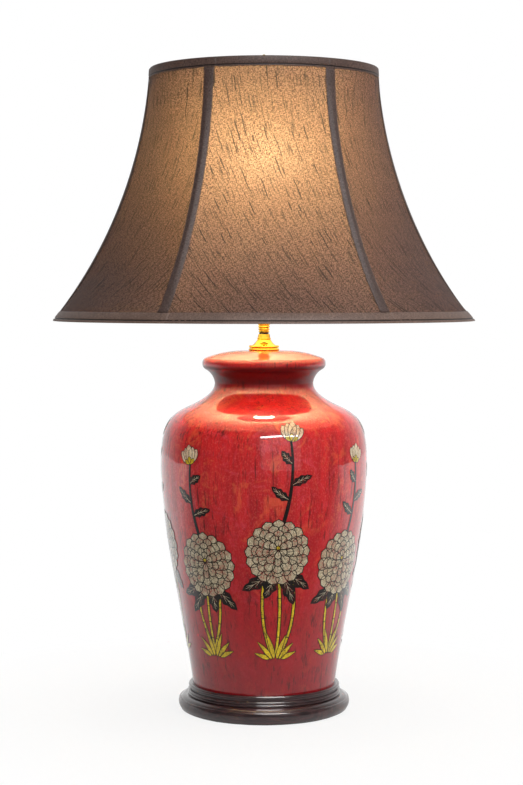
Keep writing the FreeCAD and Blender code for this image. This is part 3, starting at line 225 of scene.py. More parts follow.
def lacquer():
    """Red lacquered glaze, mottled, with fine upright wear, and painted shade on the shoulder and
    under the lip. Its heights are in metres.
    """
    paint = Paint("jar_lacquer")
    streak = paint.noise(paint.place((300, 300, 22)), detail=4.0, rough=0.7)
    fine = paint.noise(paint.place((1100, 1100, 120)), detail=1.0)
    brushed = paint.noise(paint.place((90, 90, 7)), detail=3.0, rough=0.6)
    cloud = paint.noise(paint.place((20, 20, 12)), detail=4.0, rough=0.6)
    blotch = paint.noise(paint.place((46, 46, 38)), detail=5.0, rough=0.7, distortion=0.8)
    worn = paint.noise(paint.place((620, 620, 420)), detail=3.0, rough=0.7)
    height = paint.axis("Z")
    # The red is darker towards the bottom.
    red = paint.mix(paint.band(height, 0.05, 0.33), rgb(150, 8, 22), rgb(214, 30, 34))
    red = paint.mix(paint.band(brushed, 0.40, 0.65, 0, 0.5), red, rgb(132, 10, 22))
    upper = paint.band(height, 0.11, 0.27, 0.15, 1.0)
    for patches, low, high, most, tone in (
        (blotch, 0.53, 0.64, 0.6, rgb(220, 92, 52)),
        (blotch, 0.45, 0.33, 0.6, rgb(212, 66, 84)),
        (worn, 0.50, 0.66, 0.45, rgb(228, 90, 80)),
    ):
        share = paint.maths("MULTIPLY", paint.band(patches, low, high, 0, most), upper)
        red = paint.mix(share, red, tone)
    # Painted shade: the shoulder darkens towards the neck, and the neck under the lip is painted dark
    # red for the lip's shadow. The coat is thinned there too.
    painted_neck_shade = paint.maths(
        "MULTIPLY", paint.band(height, 0.352, 0.360), paint.band(height, 0.379, 0.376)
    )
    red = paint.mix(paint.band(height, 0.335, 0.362, 0, 0.75), red, rgb(150, 14, 18))
    red = paint.mix(paint.band(painted_neck_shade, 0, 1, 0, 0.9), red, rgb(84, 8, 10))
    marks = paint.maths("MULTIPLY", paint.band(streak, 0.54, 0.64), paint.band(cloud, 0.40, 0.54))
    colour = paint.mix(paint.band(marks, 0, 1, 0, 0.8), red, rgb(66, 12, 12))
    colour = paint.mix(paint.band(fine, 0.60, 0.76, 0, 0.5), colour, rgb(92, 12, 14))
    shader = paint.principled(
        {"Base Color": colour, "Roughness": 0.34, "Specular IOR Level": 0.2,
         "Coat Weight": paint.band(painted_neck_shade, 0, 1, 1.0, 0.15), "Coat Roughness": 0.012,
         "Coat IOR": 1.85, "Normal": paint.bump(brushed, 0.0003, 0.05)}
    )
    return paint.finish(shader)


def brushwork(name, colour, dark, worn):
    """Paint under the lacquer, rubbed through in places."""
    paint = Paint(name)
    fleck = paint.noise(paint.place((900, 900, 600)), detail=2.0, rough=0.7)
    rub = paint.noise(paint.place((150, 150, 90)), detail=3.0)
    tone = paint.mix(paint.band(fleck, 0.35, 0.65), dark, colour)
    shown = paint.maths("MULTIPLY", paint.band(fleck, 0.52, 0.57), paint.band(rub, 0.46, 0.56))
    tone = paint.mix(paint.band(shown, 0, 1, 0, 0.9), tone, worn)
    shader = paint.principled(
        {"Base Color": tone, "Roughness": 0.3, "Specular IOR Level": 0.3,
         "Coat Weight": 1.0, "Coat Roughness": 0.02, "Coat IOR": 1.6}
    )
    return paint.finish(shader)


def dark_wood():
    """Turned hardwood, stained almost black and lacquered."""
    paint = Paint("plinth_wood")
    grain = paint.noise(paint.place((24, 210, 260)), detail=5.0, rough=0.6, distortion=0.6)
    pores = paint.noise(paint.place((90, 900, 900)), detail=2.0)
    colour = paint.mix(paint.band(grain, 0.35, 0.65), rgb(34, 16, 19), rgb(76, 42, 43))
    colour = paint.mix(paint.band(pores, 0.62, 0.75, 0, 0.6), colour, rgb(22, 13, 13))
    shader = paint.principled(
        {"Base Color": colour, "Roughness": paint.band(grain, 0.3, 0.7, 0.30, 0.42),
         "Coat Weight": 1.0, "Coat Roughness": 0.04, "Coat IOR": 1.8,
         "Normal": paint.bump(pores, 0.0002, 0.25)}
    )
    return paint.finish(shader)


def metal(name, colour, dark, rough):
    """Metal with fine upright scratches and patches of tarnish."""
    paint = Paint(name)
    scratches = paint.noise(paint.place((900, 900, 60)), detail=3.0)
    tarnish = paint.noise(paint.place((60, 60, 60)), detail=4.0)
    tone = paint.mix(paint.band(tarnish, 0.45, 0.75, 0, 0.6), colour, dark)
    shader = paint.principled(
        {"Base Color": tone, "Metallic": 1.0,
         "Roughness": paint.band(scratches, 0.3, 0.7, rough * 0.7, rough * 1.4),
         "Normal": paint.bump(scratches, 0.00005, 0.3)}
    )
    return paint.finish(shader)


def plain(name, colour, dark, rough, scale=700, coat=0.0):
    """A matt or coated finish. scale says how fine its grain is, in specks a metre."""
    paint = Paint(name)
    fine = paint.noise(paint.place((scale, scale, scale)), detail=3.0)
    wide = paint.noise(paint.place((40, 40, 40)), detail=2.0)
    tone = paint.mix(paint.band(fine, 0.3, 0.7), dark, colour)
    tone = paint.mix(paint.band(wide, 0.3, 0.7, 0, 0.25), tone, dark)
    shader = paint.principled(
        {"Base Color": tone, "Roughness": rough, "Coat Weight": coat,
         "Normal": paint.bump(fine, 0.0001, 0.3)}
    )
    return paint.finish(shader)


BULB_STRENGTH = 119.0


def bulb_frost():
    """Frosted glass of the lit bulb, darker towards its cap. Its heights are in metres."""
    paint = Paint("bulb_frost")
    fine = paint.noise(paint.place((300, 300, 300)), detail=2.0)
    glow = paint.mix(fine, (1.0, 0.74, 0.48, 1.0), (1.0, 0.79, 0.54, 1.0))
    height = paint.axis("Z")
    glow = paint.mix(paint.band(height, 0.552, 0.588, 0.85, 0.0), glow, (0, 0, 0, 1))
    shader = paint.principled(
        {"Base Color": rgb(240, 236, 226), "Roughness": 0.4, "Emission Color": glow,
         "Emission Strength": BULB_STRENGTH}
    )
    return paint.finish(shader)


BRASS = metal("polished_brass", rgb(252, 220, 88), rgb(206, 156, 50), 0.10)
SATIN_BRASS = metal("satin_brass", rgb(214, 178, 104), rgb(150, 112, 52), 0.30)
ZINC = metal("zinc_steel", rgb(190, 190, 186), rgb(130, 130, 128), 0.34)
ALUMINIUM = metal("shell_aluminium", rgb(214, 214, 214), rgb(170, 170, 170), 0.28)
BLACK_STEEL = plain("pipe_steel", rgb(40, 36, 34), rgb(16, 14, 13), 0.45, scale=1400)
FINISHES = {
    "felt_pad": plain("base_felt", rgb(62, 84, 60), rgb(30, 44, 30), 0.95, scale=1500),
    "plinth": dark_wood(),
    "cord_grommet": plain("grommet_rubber", rgb(46, 44, 43), rgb(24, 23, 22), 0.7),
    "bottom_washer": ZINC,
    "bottom_nut": ZINC,
    "lamp_pipe": BLACK_STEEL,
    "jar": lacquer(),
    "vase_cap": BRASS,
    "neck_collar": BRASS,
    "neck_spindle": BRASS,
    "harp_saddle": SATIN_BRASS,
    "harp": SATIN_BRASS,
    "harp_sleeve_right": SATIN_BRASS,
    "harp_sleeve_left": SATIN_BRASS,
    "harp_stud": BRASS,
    "socket_cap": SATIN_BRASS,
    "socket_set_screw": ZINC,
    "socket_shell": SATIN_BRASS,
    "socket_liner": plain("liner_board", rgb(120, 96, 70), rgb(84, 62, 44), 0.9),
    "socket_body": plain("moulded_body", rgb(44, 38, 36), rgb(20, 17, 16), 0.35, coat=0.3),
    "terminal_screws": BRASS,
    "screw_shell": ALUMINIUM,
    "centre_contact": BRASS,
    "switch_key": plain("key_plastic", rgb(40, 34, 32), rgb(18, 15, 14), 0.3, coat=0.4),
    "bulb_glass": bulb_frost(),
    "bulb_cap": ALUMINIUM,
    "bulb_insulator": plain("black_glass", rgb(30, 30, 36), rgb(12, 12, 16), 0.2, coat=0.5),
    "bulb_contact": ZINC,
    "shade_top_ring": plain("frame_wire", rgb(232, 228, 216), rgb(196, 190, 176), 0.45),
    "shade_spider": SATIN_BRASS,
    "finial": BRASS,
}
FINISHES["shade_bottom_ring"] = FINISHES["shade_ribs"] = FINISHES["shade_top_ring"]
for node, finish in FINISHES.items():
    mesh = NODES[node].data
    mesh.materials.clear()
    mesh.materials.append(finish)


# Meshes.

def build(name, points, faces, body, finish, cloth=None):
    """A smooth piece from points in millimetres. cloth gives each corner's place on flat cloth."""
    mesh = bpy.data.meshes.new(name)
    mesh.from_pydata([tuple(c * MM for c in p) for p in points], [], [tuple(f) for f in faces])
    if cloth is not None:
        layer = mesh.uv_layers.new(name="cloth")
        layer.data.foreach_set("uv", np.asarray(cloth, float).ravel() * MM)
    mesh.validate()
    mesh.update()
    mesh.shade_smooth()
    piece = bpy.data.objects.new(name, mesh)
    bpy.context.scene.collection.objects.link(piece)
    mesh.materials.append(finish)
    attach(piece, body)
    return piece


def through(places, values, wanted):
    """A smooth curve through values at rising places, that doesn't overshoot them."""
    x, y = np.asarray(places, float), np.asarray(values, float)
    step = np.diff(x)
    slope = np.diff(y) / step
    bend = np.zeros(len(x))
    for i in range(1, len(x) - 1):
        if slope[i - 1] * slope[i] > 0:
            bend[i] = 2 / (1 / slope[i - 1] + 1 / slope[i])
    bend[0], bend[-1] = slope[0], slope[-1]
    where = np.clip(np.searchsorted(x, wanted) - 1, 0, len(x) - 2)
    t = (wanted - x[where]) / step[where]
    h = step[where]
    return (
        (2 * t**3 - 3 * t**2 + 1) * y[where]
        + (t**3 - 2 * t**2 + t) * h * bend[where]
        + (3 * t**2 - 2 * t**3) * y[where + 1]
        + (t**3 - t**2) * h * bend[where + 1]
    )


def reach(node, low=False):
    """Highest or lowest point of a node, in millimetres."""
    thing = NODES[node]
    heights = [(thing.matrix_world @ Vector(corner)).z / MM for corner in thing.bound_box]
    return min(heights) if low else max(heights)


# Shade. The radii and the sag are the CAD model's, in millimetres.

TOP, BOTTOM = reach("top_trim"), reach("bottom_trim", low=True)
TOP_RADIUS, BOTTOM_RADIUS = 123.0, 228.6
SAG = 22.3
HEIGHT = TOP - BOTTOM
PANELS = 6
SEAM_ANGLE = math.radians(3)
HALF = math.pi / PANELS
CHORD = math.hypot(HEIGHT, BOTTOM_RADIUS - TOP_RADIUS)
ARC = (CHORD**2 / 4 + SAG**2) / (2 * SAG)
BELL_X = (TOP_RADIUS + BOTTOM_RADIUS) / 2 + (ARC - SAG) * HEIGHT / CHORD
BELL_Z = (TOP + BOTTOM) / 2 + (ARC - SAG) * (BOTTOM_RADIUS - TOP_RADIUS) / CHORD
PANEL_SAG = 0.78
CLOTH_INSET = 0.9
BAND_DEPTH = 10.6
# Heights, and how much of the panels' flatness is reached there.
LEVELS = [
    (BOTTOM + CLOTH_INSET, 0.0), (BOTTOM + BAND_DEPTH, 0.06),
    (TOP - CLOTH_INSET - 0.90 * HEIGHT, 0.36), (TOP - CLOTH_INSET - 0.76 * HEIGHT, 0.88),
    (TOP - CLOTH_INSET - 0.54 * HEIGHT, 1.0), (TOP - CLOTH_INSET - 0.32 * HEIGHT, 0.90),
    (TOP - CLOTH_INSET - 0.15 * HEIGHT, 0.50), (TOP - BAND_DEPTH, 0.04), (TOP - CLOTH_INSET, 0.0),
]


def bell(z, depth=0.0):
    """Radius of the shade's curve along a rib, a depth inside the cloth's outer face."""
    return BELL_X - np.sqrt((ARC + depth) ** 2 - (z - BELL_Z) ** 2)


def flatness(z):
    """How flat the panels are between their ribs: 0 is round and 1 is straight across."""
    return PANEL_SAG * through(*zip(*LEVELS), z)


def panel_arc(z, depth):
    """Radius of the cloth's arc across a panel, its centre's distance and its half angle."""
    radius = bell(z, depth)
    middle = radius * (1 - (1 - math.cos(HALF)) * flatness(z))
    rise = middle - radius * math.cos(HALF)
    half_width = radius * math.sin(HALF)
    bend = (half_width**2 + rise**2) / (2 * rise)
    return bend, middle - bend, np.arcsin(half_width / bend)


def cloth_radius(z, angle):
    """Distance of the cloth's outer face from the axis at a height and an angle."""
    bend, centre, half = panel_arc(z, 0.0)
    off = (angle - SEAM_ANGLE) % (2 * HALF) - HALF
    return centre * math.cos(off) + math.sqrt(bend**2 - (centre * math.sin(off)) ** 2)


def spin(x, y, angle):
    """A place turned round the lamp's axis."""
    return x * math.cos(angle) - y * math.sin(angle), x * math.sin(angle) + y * math.cos(angle)


# How far the slubs of each panel lean towards one of its seams, and how far they slant besides.
SLANTS = ((0.5, 0.05), (-0.7, -0.08), (1.1, 0.06), (-0.9, -0.08), (1.5, 0.11), (0.9, 0.07))
# How far apart the panels lie on the cloth that the slubs are drawn on, across and along.
PANEL_STEP = (900, 370)


def make_cover():
    """One sheet of six sewn gores, drawn tight between round rings."""
    rows, columns, depth = 88, 26, 0.2
    heights = np.linspace(BOTTOM + 1.2, TOP - 1.2, rows + 1)
    along = np.concatenate(
        [[0], np.cumsum(np.hypot(np.diff(heights), np.diff(bell(heights))))]
    )
    bend, centre, half = panel_arc(heights, depth)
    points, faces, cloth, weave = [], [], [], []
    for panel in range(PANELS):
        for column in range(columns):
            share = 2 * column / columns - 1
            for row in range(rows + 1):
                swing = half[row] * share
                x = centre[row] + bend[row] * math.cos(swing)
                y = bend[row] * math.sin(swing)
                x, y = spin(x, y, SEAM_ANGLE + (2 * panel + 1) * HALF)
                points.append((x, y, heights[row]))
    total = PANELS * columns

    def corner(column, row):
        return (column % total) * (rows + 1) + row

    for column in range(total):
        panel, place = divmod(column, columns)
        for row in range(rows):
            faces.append(
                (corner(column, row), corner(column + 1, row),
                 corner(column + 1, row + 1), corner(column, row + 1))
            )
            for side, level in ((0, row), (1, row), (1, row + 1), (0, row + 1)):
                share = 2 * (place + side) / columns - 1
                width = bend[level] * half[level]
                lean, slant = SLANTS[panel]
                across = width * (share - lean) + slant * along[level]
                aside, ahead = PANEL_STEP[0] * (panel + 1), PANEL_STEP[1] * panel
                cloth.append((across + aside, along[level] + ahead))
                weave.append((width * share * MM + panel, along[level] * MM))
    cover = build("shade_fabric", points, faces, "shade", silk(), cloth)
    layer = cover.data.uv_layers.new(name="weave")
    layer.data.foreach_set("uv", np.asarray(weave, float).ravel())
    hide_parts("shade_cover")


TAPE = tape("shade_tape")


def band_angles(radius):
    """Angles round a band, closer together where the tape is joined at each seam."""
    extra = np.array([-2.0, -0.4, 0.0, 0.5, 1.5, 4.0, 6.4, 7.0, 7.4, 9.0]) / radius
    angles = set(np.round(np.linspace(0, 2 * math.pi, 240, endpoint=False), 6))

    def joined(angle, middle):
        return -3 < ((angle - middle + math.pi) % (2 * math.pi) - math.pi) * radius < 10

    for seam in range(PANELS):
        middle = SEAM_ANGLE + seam * 2 * HALF
        angles = {angle for angle in angles if not joined(angle, middle)}
        angles |= {round(float(a), 6) for a in (middle + extra) % (2 * math.pi)}
    return np.array(sorted(angles))


def seam_distance(angle):
    """Angle from the nearest seam."""
    step = 2 * HALF
    return (angle - SEAM_ANGLE + step / 2) % step - step / 2


def make_band(name, node, edge, inward, section, fold, tones):
    """Tape folded round an edge. The section runs round the tape: distance from the edge, and how
    far outside the cloth's outer face. fold names the section's points on each side of its fold."""
    radius = TOP_RADIUS if inward < 0 else BOTTOM_RADIUS
    angles = band_angles(radius)
    run = np.concatenate([[0], np.cumsum(np.hypot(*np.diff(np.array(section), axis=0).T))])
    count = len(section)
    points, faces, cloth = [], [], []
    for angle in angles:
        gap = seam_distance(angle) * radius
        lump = float(np.interp(gap, OVERLAP, (0, OVERLAP_RISE, OVERLAP_RISE, 0)))
        sway = 0.10 * math.sin(7 * angle + 1) + 0.06 * math.sin(19 * angle)
        for away, outward in section:
            z = edge + inward * away
            if 1.0 < away and outward > 0.3:
                z += inward * (sway if away > 9 else 0.5 * sway)
                outward += lump
            r = (cloth_radius(z, angle) if outward > 0 else bell(z)) + outward
            points.append((r * math.cos(angle), r * math.sin(angle), z))
    total = len(angles)
    for i in range(total):
        j = (i + 1) % total
        left, right = angles[i] * radius, (angles[j] if j else 2 * math.pi) * radius
        for k in range(count):
            m = (k + 1) % count
            faces.append((i * count + k, j * count + k, j * count + m, i * count + m))
            end = run[k] + 2.0 if m == 0 else run[m]
            cloth += [(left, run[k]), (right, run[k]), (right, end), (left, end)]
    if inward > 0:
        faces = [f[::-1] for f in faces]
        cloth = [c for n in range(0, len(cloth), 4) for c in cloth[n : n + 4][::-1]]
    finish = tape(name + "_tape", (run[fold[0]], run[fold[1]]), *tones)
    piece = build(name, points, faces, "shade", finish, cloth)
    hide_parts(node)


# Where the tape's new length lies over the old one, measured from a seam.
OVERLAP = (-0.4, 0.0, 7.0, 7.4)
OVERLAP_RISE = 0.42
# How far inside the cloth's face the tape's inner flap lies, on its two sides.
INNER = -5.25
FLAP = -6.0
TOP_SECTION = [
    (10.6, 0.12), (10.65, 0.42), (10.3, 0.62), (9.4, 0.66), (9.1, 0.5), (9.0, 0.16), (8.1, 0.16),
    (8.0, 0.6), (7.6, 0.82), (4.5, 0.88), (1.6, 0.86), (0.7, 0.62), (0.15, 0.0), (0.0, -1.2),
    (0.0, -4.4), (0.25, -5.5), (0.8, FLAP), (5.8, FLAP), (6.0, -5.6), (5.8, INNER), (0.9, INNER),
    (0.8, -4.6), (0.8, -0.4), (0.9, 0.12),
]
BOTTOM_SECTION = [
    (10.6, 0.12), (10.65, 0.42), (10.3, 0.7), (9.6, 0.86), (6.0, 0.88), (3.9, 0.86), (3.6, 0.6),
    (3.5, 0.16), (2.6, 0.16), (2.5, 0.55), (2.1, 0.8), (0.9, 0.72), (0.2, 0.1), (0.0, -1.2),
    (0.0, -4.4), (0.25, -5.5), (0.8, FLAP), (5.8, FLAP), (6.0, -5.6), (5.8, INNER), (0.9, INNER),
    (0.8, -4.6), (0.8, -0.4), (0.9, 0.12),
]


def make_seam_tape(seam):
    """Tape over one rib: a shallow ridge whose two flaps lie on the cloth."""
    end, rows = 10.5, 70
    section = [
        (-5.55, 0.12), (-5.6, 0.45), (-5.2, 0.66), (-3.0, 0.72), (-1.2, 0.82), (0.0, 0.88),
        (1.2, 0.82), (3.0, 0.72), (5.2, 0.66), (5.6, 0.45), (5.55, 0.12), (0.0, 0.14),
    ]
    count = len(section)
    points, faces, cloth = [], [], []
    heights = np.linspace(BOTTOM + end, TOP - end, rows + 1)
    run = np.concatenate([[0], np.cumsum(np.hypot(np.diff(heights), np.diff(bell(heights))))])
    for step, z in enumerate(heights):
        radius = float(bell(z))
        half = float(panel_arc(z, 0.0)[2])
        lean = math.pi / 2 + HALF - half
        sway = 0.12 * math.sin(run[step] / 23.0 + seam * 1.7)
        sway += 0.05 * math.sin(run[step] / 7.0 + seam)
        for side, outward in section:
            place = side + (sway if abs(side) > 0.5 else 0.0)
            sign = 1 if place >= 0 else -1
            tangent = (math.cos(lean), sign * math.sin(lean))
            normal = (math.sin(lean), -sign * math.cos(lean)) if abs(side) > 0.5 else (1.0, 0.0)
            x = radius + abs(place) * tangent[0] + outward * normal[0]
            y = abs(place) * tangent[1] + outward * normal[1]
            points.append((*spin(x, y, SEAM_ANGLE + seam * 2 * HALF), z))
    for row in range(rows):
        for k in range(count):
            m = (k + 1) % count
            low, high = row * count, (row + 1) * count
            faces.append((high + k, high + m, low + m, low + k))
            for corner, level in ((k, row + 1), (m, row + 1), (m, row), (k, row)):
                cloth.append((section[corner][0], run[level]))
    faces.append(tuple(range(count)))
    cloth += [(side, run[0]) for side, outward in section]
    faces.append(tuple(rows * count + k for k in reversed(range(count))))
    cloth += [(side, run[-1]) for side, outward in reversed(section)]
    piece = build(f"seam_tape_{seam + 1}", points, faces, "shade", TAPE, cloth)
    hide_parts("rib_trims")


make_cover()
make_band("top_band", "top_trim", TOP, -1, TOP_SECTION, (4, 7), (rgb(66, 48, 42), rgb(114, 88, 78)))
make_band(
    "bottom_band", "bottom_trim", BOTTOM, 1, BOTTOM_SECTION, (6, 9),
    (rgb(92, 72, 63), rgb(146, 118, 104)),
)
for seam in range(PANELS):
    make_seam_tape(seam)


# Felt under the plinth.

def make_felt():
    """A disc of felt with a soft, slightly uneven edge."""
    radius = NODES["felt_pad"].dimensions.x / MM / 2
    low, high = reach("felt_pad", low=True), reach("felt_pad")
    top = high - 0.05
    section = [
        (0.3, low), (0.92, low), (0.985, low), (0.997, low + 0.25), (1.0, (low + high) / 2),
        (0.997, high - 0.2), (0.985, top), (0.6, top),
    ]
    sides = 144
    points, faces, cloth = [], [], []
    for step in range(sides):
        angle = 2 * math.pi * step / sides
        ripple = 0.25 * (math.sin(11 * angle) + math.sin(29 * angle + 2) - 2) / 2
        for share, z in section:
            r = share * (radius + (ripple if share > 0.95 else 0.0))
            points.append((r * math.cos(angle), r * math.sin(angle), z))
    count = len(section)
    points += [(0, 0, low), (0, 0, top)]
    for step in range(sides):
        here, there = step * count, (step + 1) % sides * count
        faces.append((len(points) - 2, there, here))
        faces.append((len(points) - 1, here + count - 1, there + count - 1))
        for k in range(count - 1):
            faces.append((here + k, there + k, there + k + 1, here + k + 1))
    for face in faces:
        cloth += [points[corner][:2] for corner in face]
    pad = build("felt_disc", points, faces, "base", FINISHES["felt_pad"], cloth)
    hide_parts("felt_pad")


make_felt()


# The turned brass neck: heights above its foot and radii, in millimetres.
NECK_PROFILE = [
    (0.0, 5.5), (0.3, 5.8), (1.4, 5.85), (1.75, 5.35), (2.15, 5.3), (2.5, 5.8), (3.4, 6.2),
    (4.3, 5.9), (4.65, 5.45), (5.05, 5.5), (5.4, 6.0), (6.2, 6.4), (7.0, 6.1), (7.35, 5.7),
    (7.75, 5.75), (8.1, 6.3), (8.9, 6.65), (9.7, 6.5), (10.2, 6.4), (12.0, 7.5), (14.4, 8.7),
    (16.8, 9.2), (19.6, 8.95), (26.4, 7.3), (31.8, 6.7), (35.4, 7.3), (36.7, 8.4), (37.0, 9.4),
    (37.7, 9.85), (38.5, 10.0), (39.3, 9.85), (40.0, 9.5),
]
NECK_BORE = 5.2


def make_neck():
    """Turned brass neck with three beads above its foot."""
    foot = reach("neck_spindle", low=True)
    rises = np.linspace(0.0, NECK_PROFILE[-1][0], 241)
    radii = through(*zip(*NECK_PROFILE), rises)
    outline = list(zip(radii, rises)) + [(NECK_BORE, rises[-1]), (NECK_BORE, 0.0)]
    sides, count = 96, len(outline)
    turns = [2 * math.pi * side / sides for side in range(sides)]
    points = [(r * math.cos(a), r * math.sin(a), foot + z) for a in turns for r, z in outline]
    faces = [
        (side * count + i, (side + 1) % sides * count + i,
         (side + 1) % sides * count + (i + 1) % count, side * count + (i + 1) % count)
        for side in range(sides) for i in range(count)
    ]
    neck = build("turned_neck", points, faces, "base", BRASS)
    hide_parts("neck_spindle")


make_neck()


# Painted ornament of the jar: blooms, leaves and grasses in a row. Each shape is drawn flat in
# millimetres, x to the right and y up from the table, and laid on the jar's side.

NARROWEST_SIDE = 40


def side_radius(node):
    """The outer side of a node, where it is wide, as rising heights and radii."""
    thing = NODES[node]
    widest = {}
    for vertex in thing.data.vertices:
        x, y, z = (thing.matrix_world @ vertex.co) / MM
        if x * vertex.normal.x + y * vertex.normal.y > 0:
            level = round(z, 2)
            widest[level] = max(widest.get(level, 0.0), math.hypot(x, y))
    heights = sorted(z for z, radius in widest.items() if radius > NARROWEST_SIDE)
    return np.array(heights), np.array([widest[z] for z in heights])


JAR_HEIGHTS, JAR_RADII = side_radius("jar")
# How far the paint stands off the jar, each layer over the last, and a stroke's middle.
CLEAR = 0.12
LAYER_RISE = 0.03
STROKE_RISE = 0.06


class Layer:
    """All the strokes and petals in one paint."""

    def __init__(self, name, finish):
        self.name, self.finish = name, finish
        self.points, self.faces = [], []

    def lay(self, flat, angle, lifts):
        """A grid of flat points, laid on the jar's side at an angle."""
        rows, columns = flat.shape[:2]
        start = len(self.points)
        radius = np.interp(flat[..., 1], JAR_HEIGHTS, JAR_RADII)
        turn = angle + flat[..., 0] / radius
        far = radius + CLEAR + lifts
        laid = np.stack([far * np.cos(turn), far * np.sin(turn), flat[..., 1]], axis=-1)
        self.points += laid.reshape(-1, 3).tolist()
        for row in range(rows - 1):
            for column in range(columns - 1):
                first = start + row * columns + column
                self.faces.append((first, first + 1, first + columns + 1, first + columns))

    def stroke(self, line, widths, angle, layer):
        """A brush line, raised along its middle."""
        line = np.asarray(line, float)
        along = np.gradient(line, axis=0)
        along /= np.linalg.norm(along, axis=1)[:, None]
        normal = np.stack([-along[:, 1], along[:, 0]], axis=1)
        half = np.broadcast_to(np.asarray(widths, float) / 2, len(line))[:, None]
        flat = np.stack([line + normal * half, line, line - normal * half], axis=1)
        self.lay(flat, angle, layer * LAYER_RISE + np.array([0.0, STROKE_RISE, 0.0]))

    def finished(self):
        build(self.name, self.points, self.faces, "base", self.finish)


def painted(name, colour, dark, worn):
    """The layer of one paint."""
    return Layer("ornament_" + name, brushwork(name + "_paint", colour, dark, worn))


RED_UNDER = rgb(150, 22, 24)
SILVER = painted("silver", rgb(212, 200, 170), rgb(128, 112, 86), RED_UNDER)
INK = painted("ink", rgb(26, 20, 18), rgb(14, 11, 10), rgb(84, 18, 16))
YELLOW = painted("yellow", rgb(232, 208, 30), rgb(176, 142, 24), rgb(60, 40, 14))
WHITE = painted("white", rgb(244, 232, 206), rgb(214, 188, 148), RED_UNDER)


def turned_to(points, lean, base):
    """Points drawn upright, turned clockwise by a lean in degrees and moved to a base."""
    angle = math.radians(-lean)
    cosine, sine = math.cos(angle), math.sin(angle)
    return points @ np.array([[cosine, sine], [-sine, cosine]]) + np.asarray(base, float)


def blade(length, width, fullest=0.6, blunt=0.6, lobes=0.0, curl=0.0, steps=10):
    """A petal or leaf drawn upright: its grid of points from the base to the tip."""
    share = np.linspace(0.0, 1.0, steps + 1)
    power = math.log(0.5) / math.log(fullest)
    half = width / 2 * np.sin(np.pi * share**power) ** blunt
    half = half * (1 + lobes * np.cos(7 * np.pi * share))
    middle = curl * length * share**2
    sides = (-1, -0.5, 0, 0.5, 1)
    lines = [np.stack([middle + side * half, length * share], axis=1) for side in sides]
    return np.stack(lines, axis=1)


def petal(paint, base, lean, length, width, angle, layer, outline=1.05, veins=1, **form):
    """One petal or leaf with an ink outline and ink veins."""
    grid = turned_to(blade(length, width, **form), lean, base)
    paint.lay(grid, angle, layer * LAYER_RISE)
    edge = np.concatenate([grid[:, 0], grid[::-1, -1]])
    keep = np.concatenate([[True], np.linalg.norm(np.diff(edge, axis=0), axis=1) > 0.05])
    INK.stroke(edge[keep], outline, angle, layer + 0.4)
    for vein in range(veins):
        share = (vein + 1) / (veins + 1)
        line = grid[1:-3, 0] * (1 - share) + grid[1:-3, -1] * share
        INK.stroke(line, np.linspace(0.8, 0.35, len(line)), angle, layer + 0.4)


def bent_line(start, end, bow, count=16):
    """A line from start to end that bows to its left by a share of its length."""
    start, end = np.asarray(start, float), np.asarray(end, float)
    share = np.linspace(0, 1, count)[:, None]
    across = np.array([start[1] - end[1], end[0] - start[0]])
    return start + (end - start) * share + across * bow * 4 * share * (1 - share)


def stalk(start, end, bow, width, angle, layer):
    """A yellow stalk with an ink edge and ink joints."""
    line = bent_line(start, end, bow, 22)
    INK.stroke(line, width + 1.9, angle, layer)
    YELLOW.stroke(line, width, angle, layer + 1)
    for step in (5, 10, 15):
        across = (line[step + 1] - line[step])[::-1] * np.array([-1, 1])
        across *= 0.5 * (width + 1) / np.linalg.norm(across)
        INK.stroke([line[step] - across, line[step], line[step] + across], 0.9, angle, layer + 3)


# Rows of a bloom, from the outermost: start from the centre, petals, length and width.
BLOOM_ROWS = (
    (17, 17, 20, 13.5), (12, 15, 18, 12), (8, 12, 15.5, 11), (4.5, 9, 12.5, 9.5), (1.5, 6, 9, 7.5),
)


def bloom(centre, angle, layer):
    """A full bloom of overlapping petals in rows."""
    for row, (start, count, length, width) in enumerate(BLOOM_ROWS):
        middle = np.asarray(centre, float) + (0, 1.3 * row)
        for step in range(count):
            lean = 360 * (step + 0.5 * (row % 2)) / count
            away = np.array([math.sin(math.radians(lean)), math.cos(math.radians(lean))])
            reach_out = 1 - 0.10 * (1 - away[1]) * (row < 2)
            petal(
                SILVER, middle + away * start, lean, length * reach_out, width, angle,
                layer + 2 * row + step % 2, outline=1.0, fullest=0.62, blunt=0.5, steps=8,
            )
    petal(YELLOW, np.asarray(centre) + (0, 4), 0, 5, 4.5, angle, layer + 12)


def leaf(base, lean, length, width, angle, layer, curl=0.1):
    """A dark lobed leaf with pale veins."""
    form = blade(length, width, fullest=0.45, blunt=0.75, lobes=0.16, curl=curl, steps=16)
    grid = turned_to(form, lean, base)
    INK.lay(grid, angle, layer * LAYER_RISE)
    SILVER.stroke(grid[1:-2, 2], np.linspace(0.7, 0.3, len(grid) - 3), angle, layer + 1)
    for step in (4, 7, 10):
        for side in (1, 3):
            middle = (grid[step + 1, 2] + grid[step + 2, side]) / 2
            rib = np.stack([grid[step, 2], middle, grid[step + 3, side]])
            SILVER.stroke(rib, (0.5, 0.4, 0.25), angle, layer + 1)


def bud(base, lean, angle, layer):
    """A half-open bud in a calyx."""
    for step, off in enumerate((-38, 38, -19, 19, 0)):
        petal(
            WHITE, base, lean + off, 19 + 2 * (off == 0), 9.5, angle, layer + step,
            outline=0.7, fullest=0.55, blunt=0.6, steps=8,
        )
    for step, off in enumerate((-52, 52, 0)):
        petal(YELLOW, base, lean + off, 8.5, 4.5, angle, layer + 6 + step, outline=0.6, veins=0)


# Height of the grass roots above the table.
ROOT = 70.0


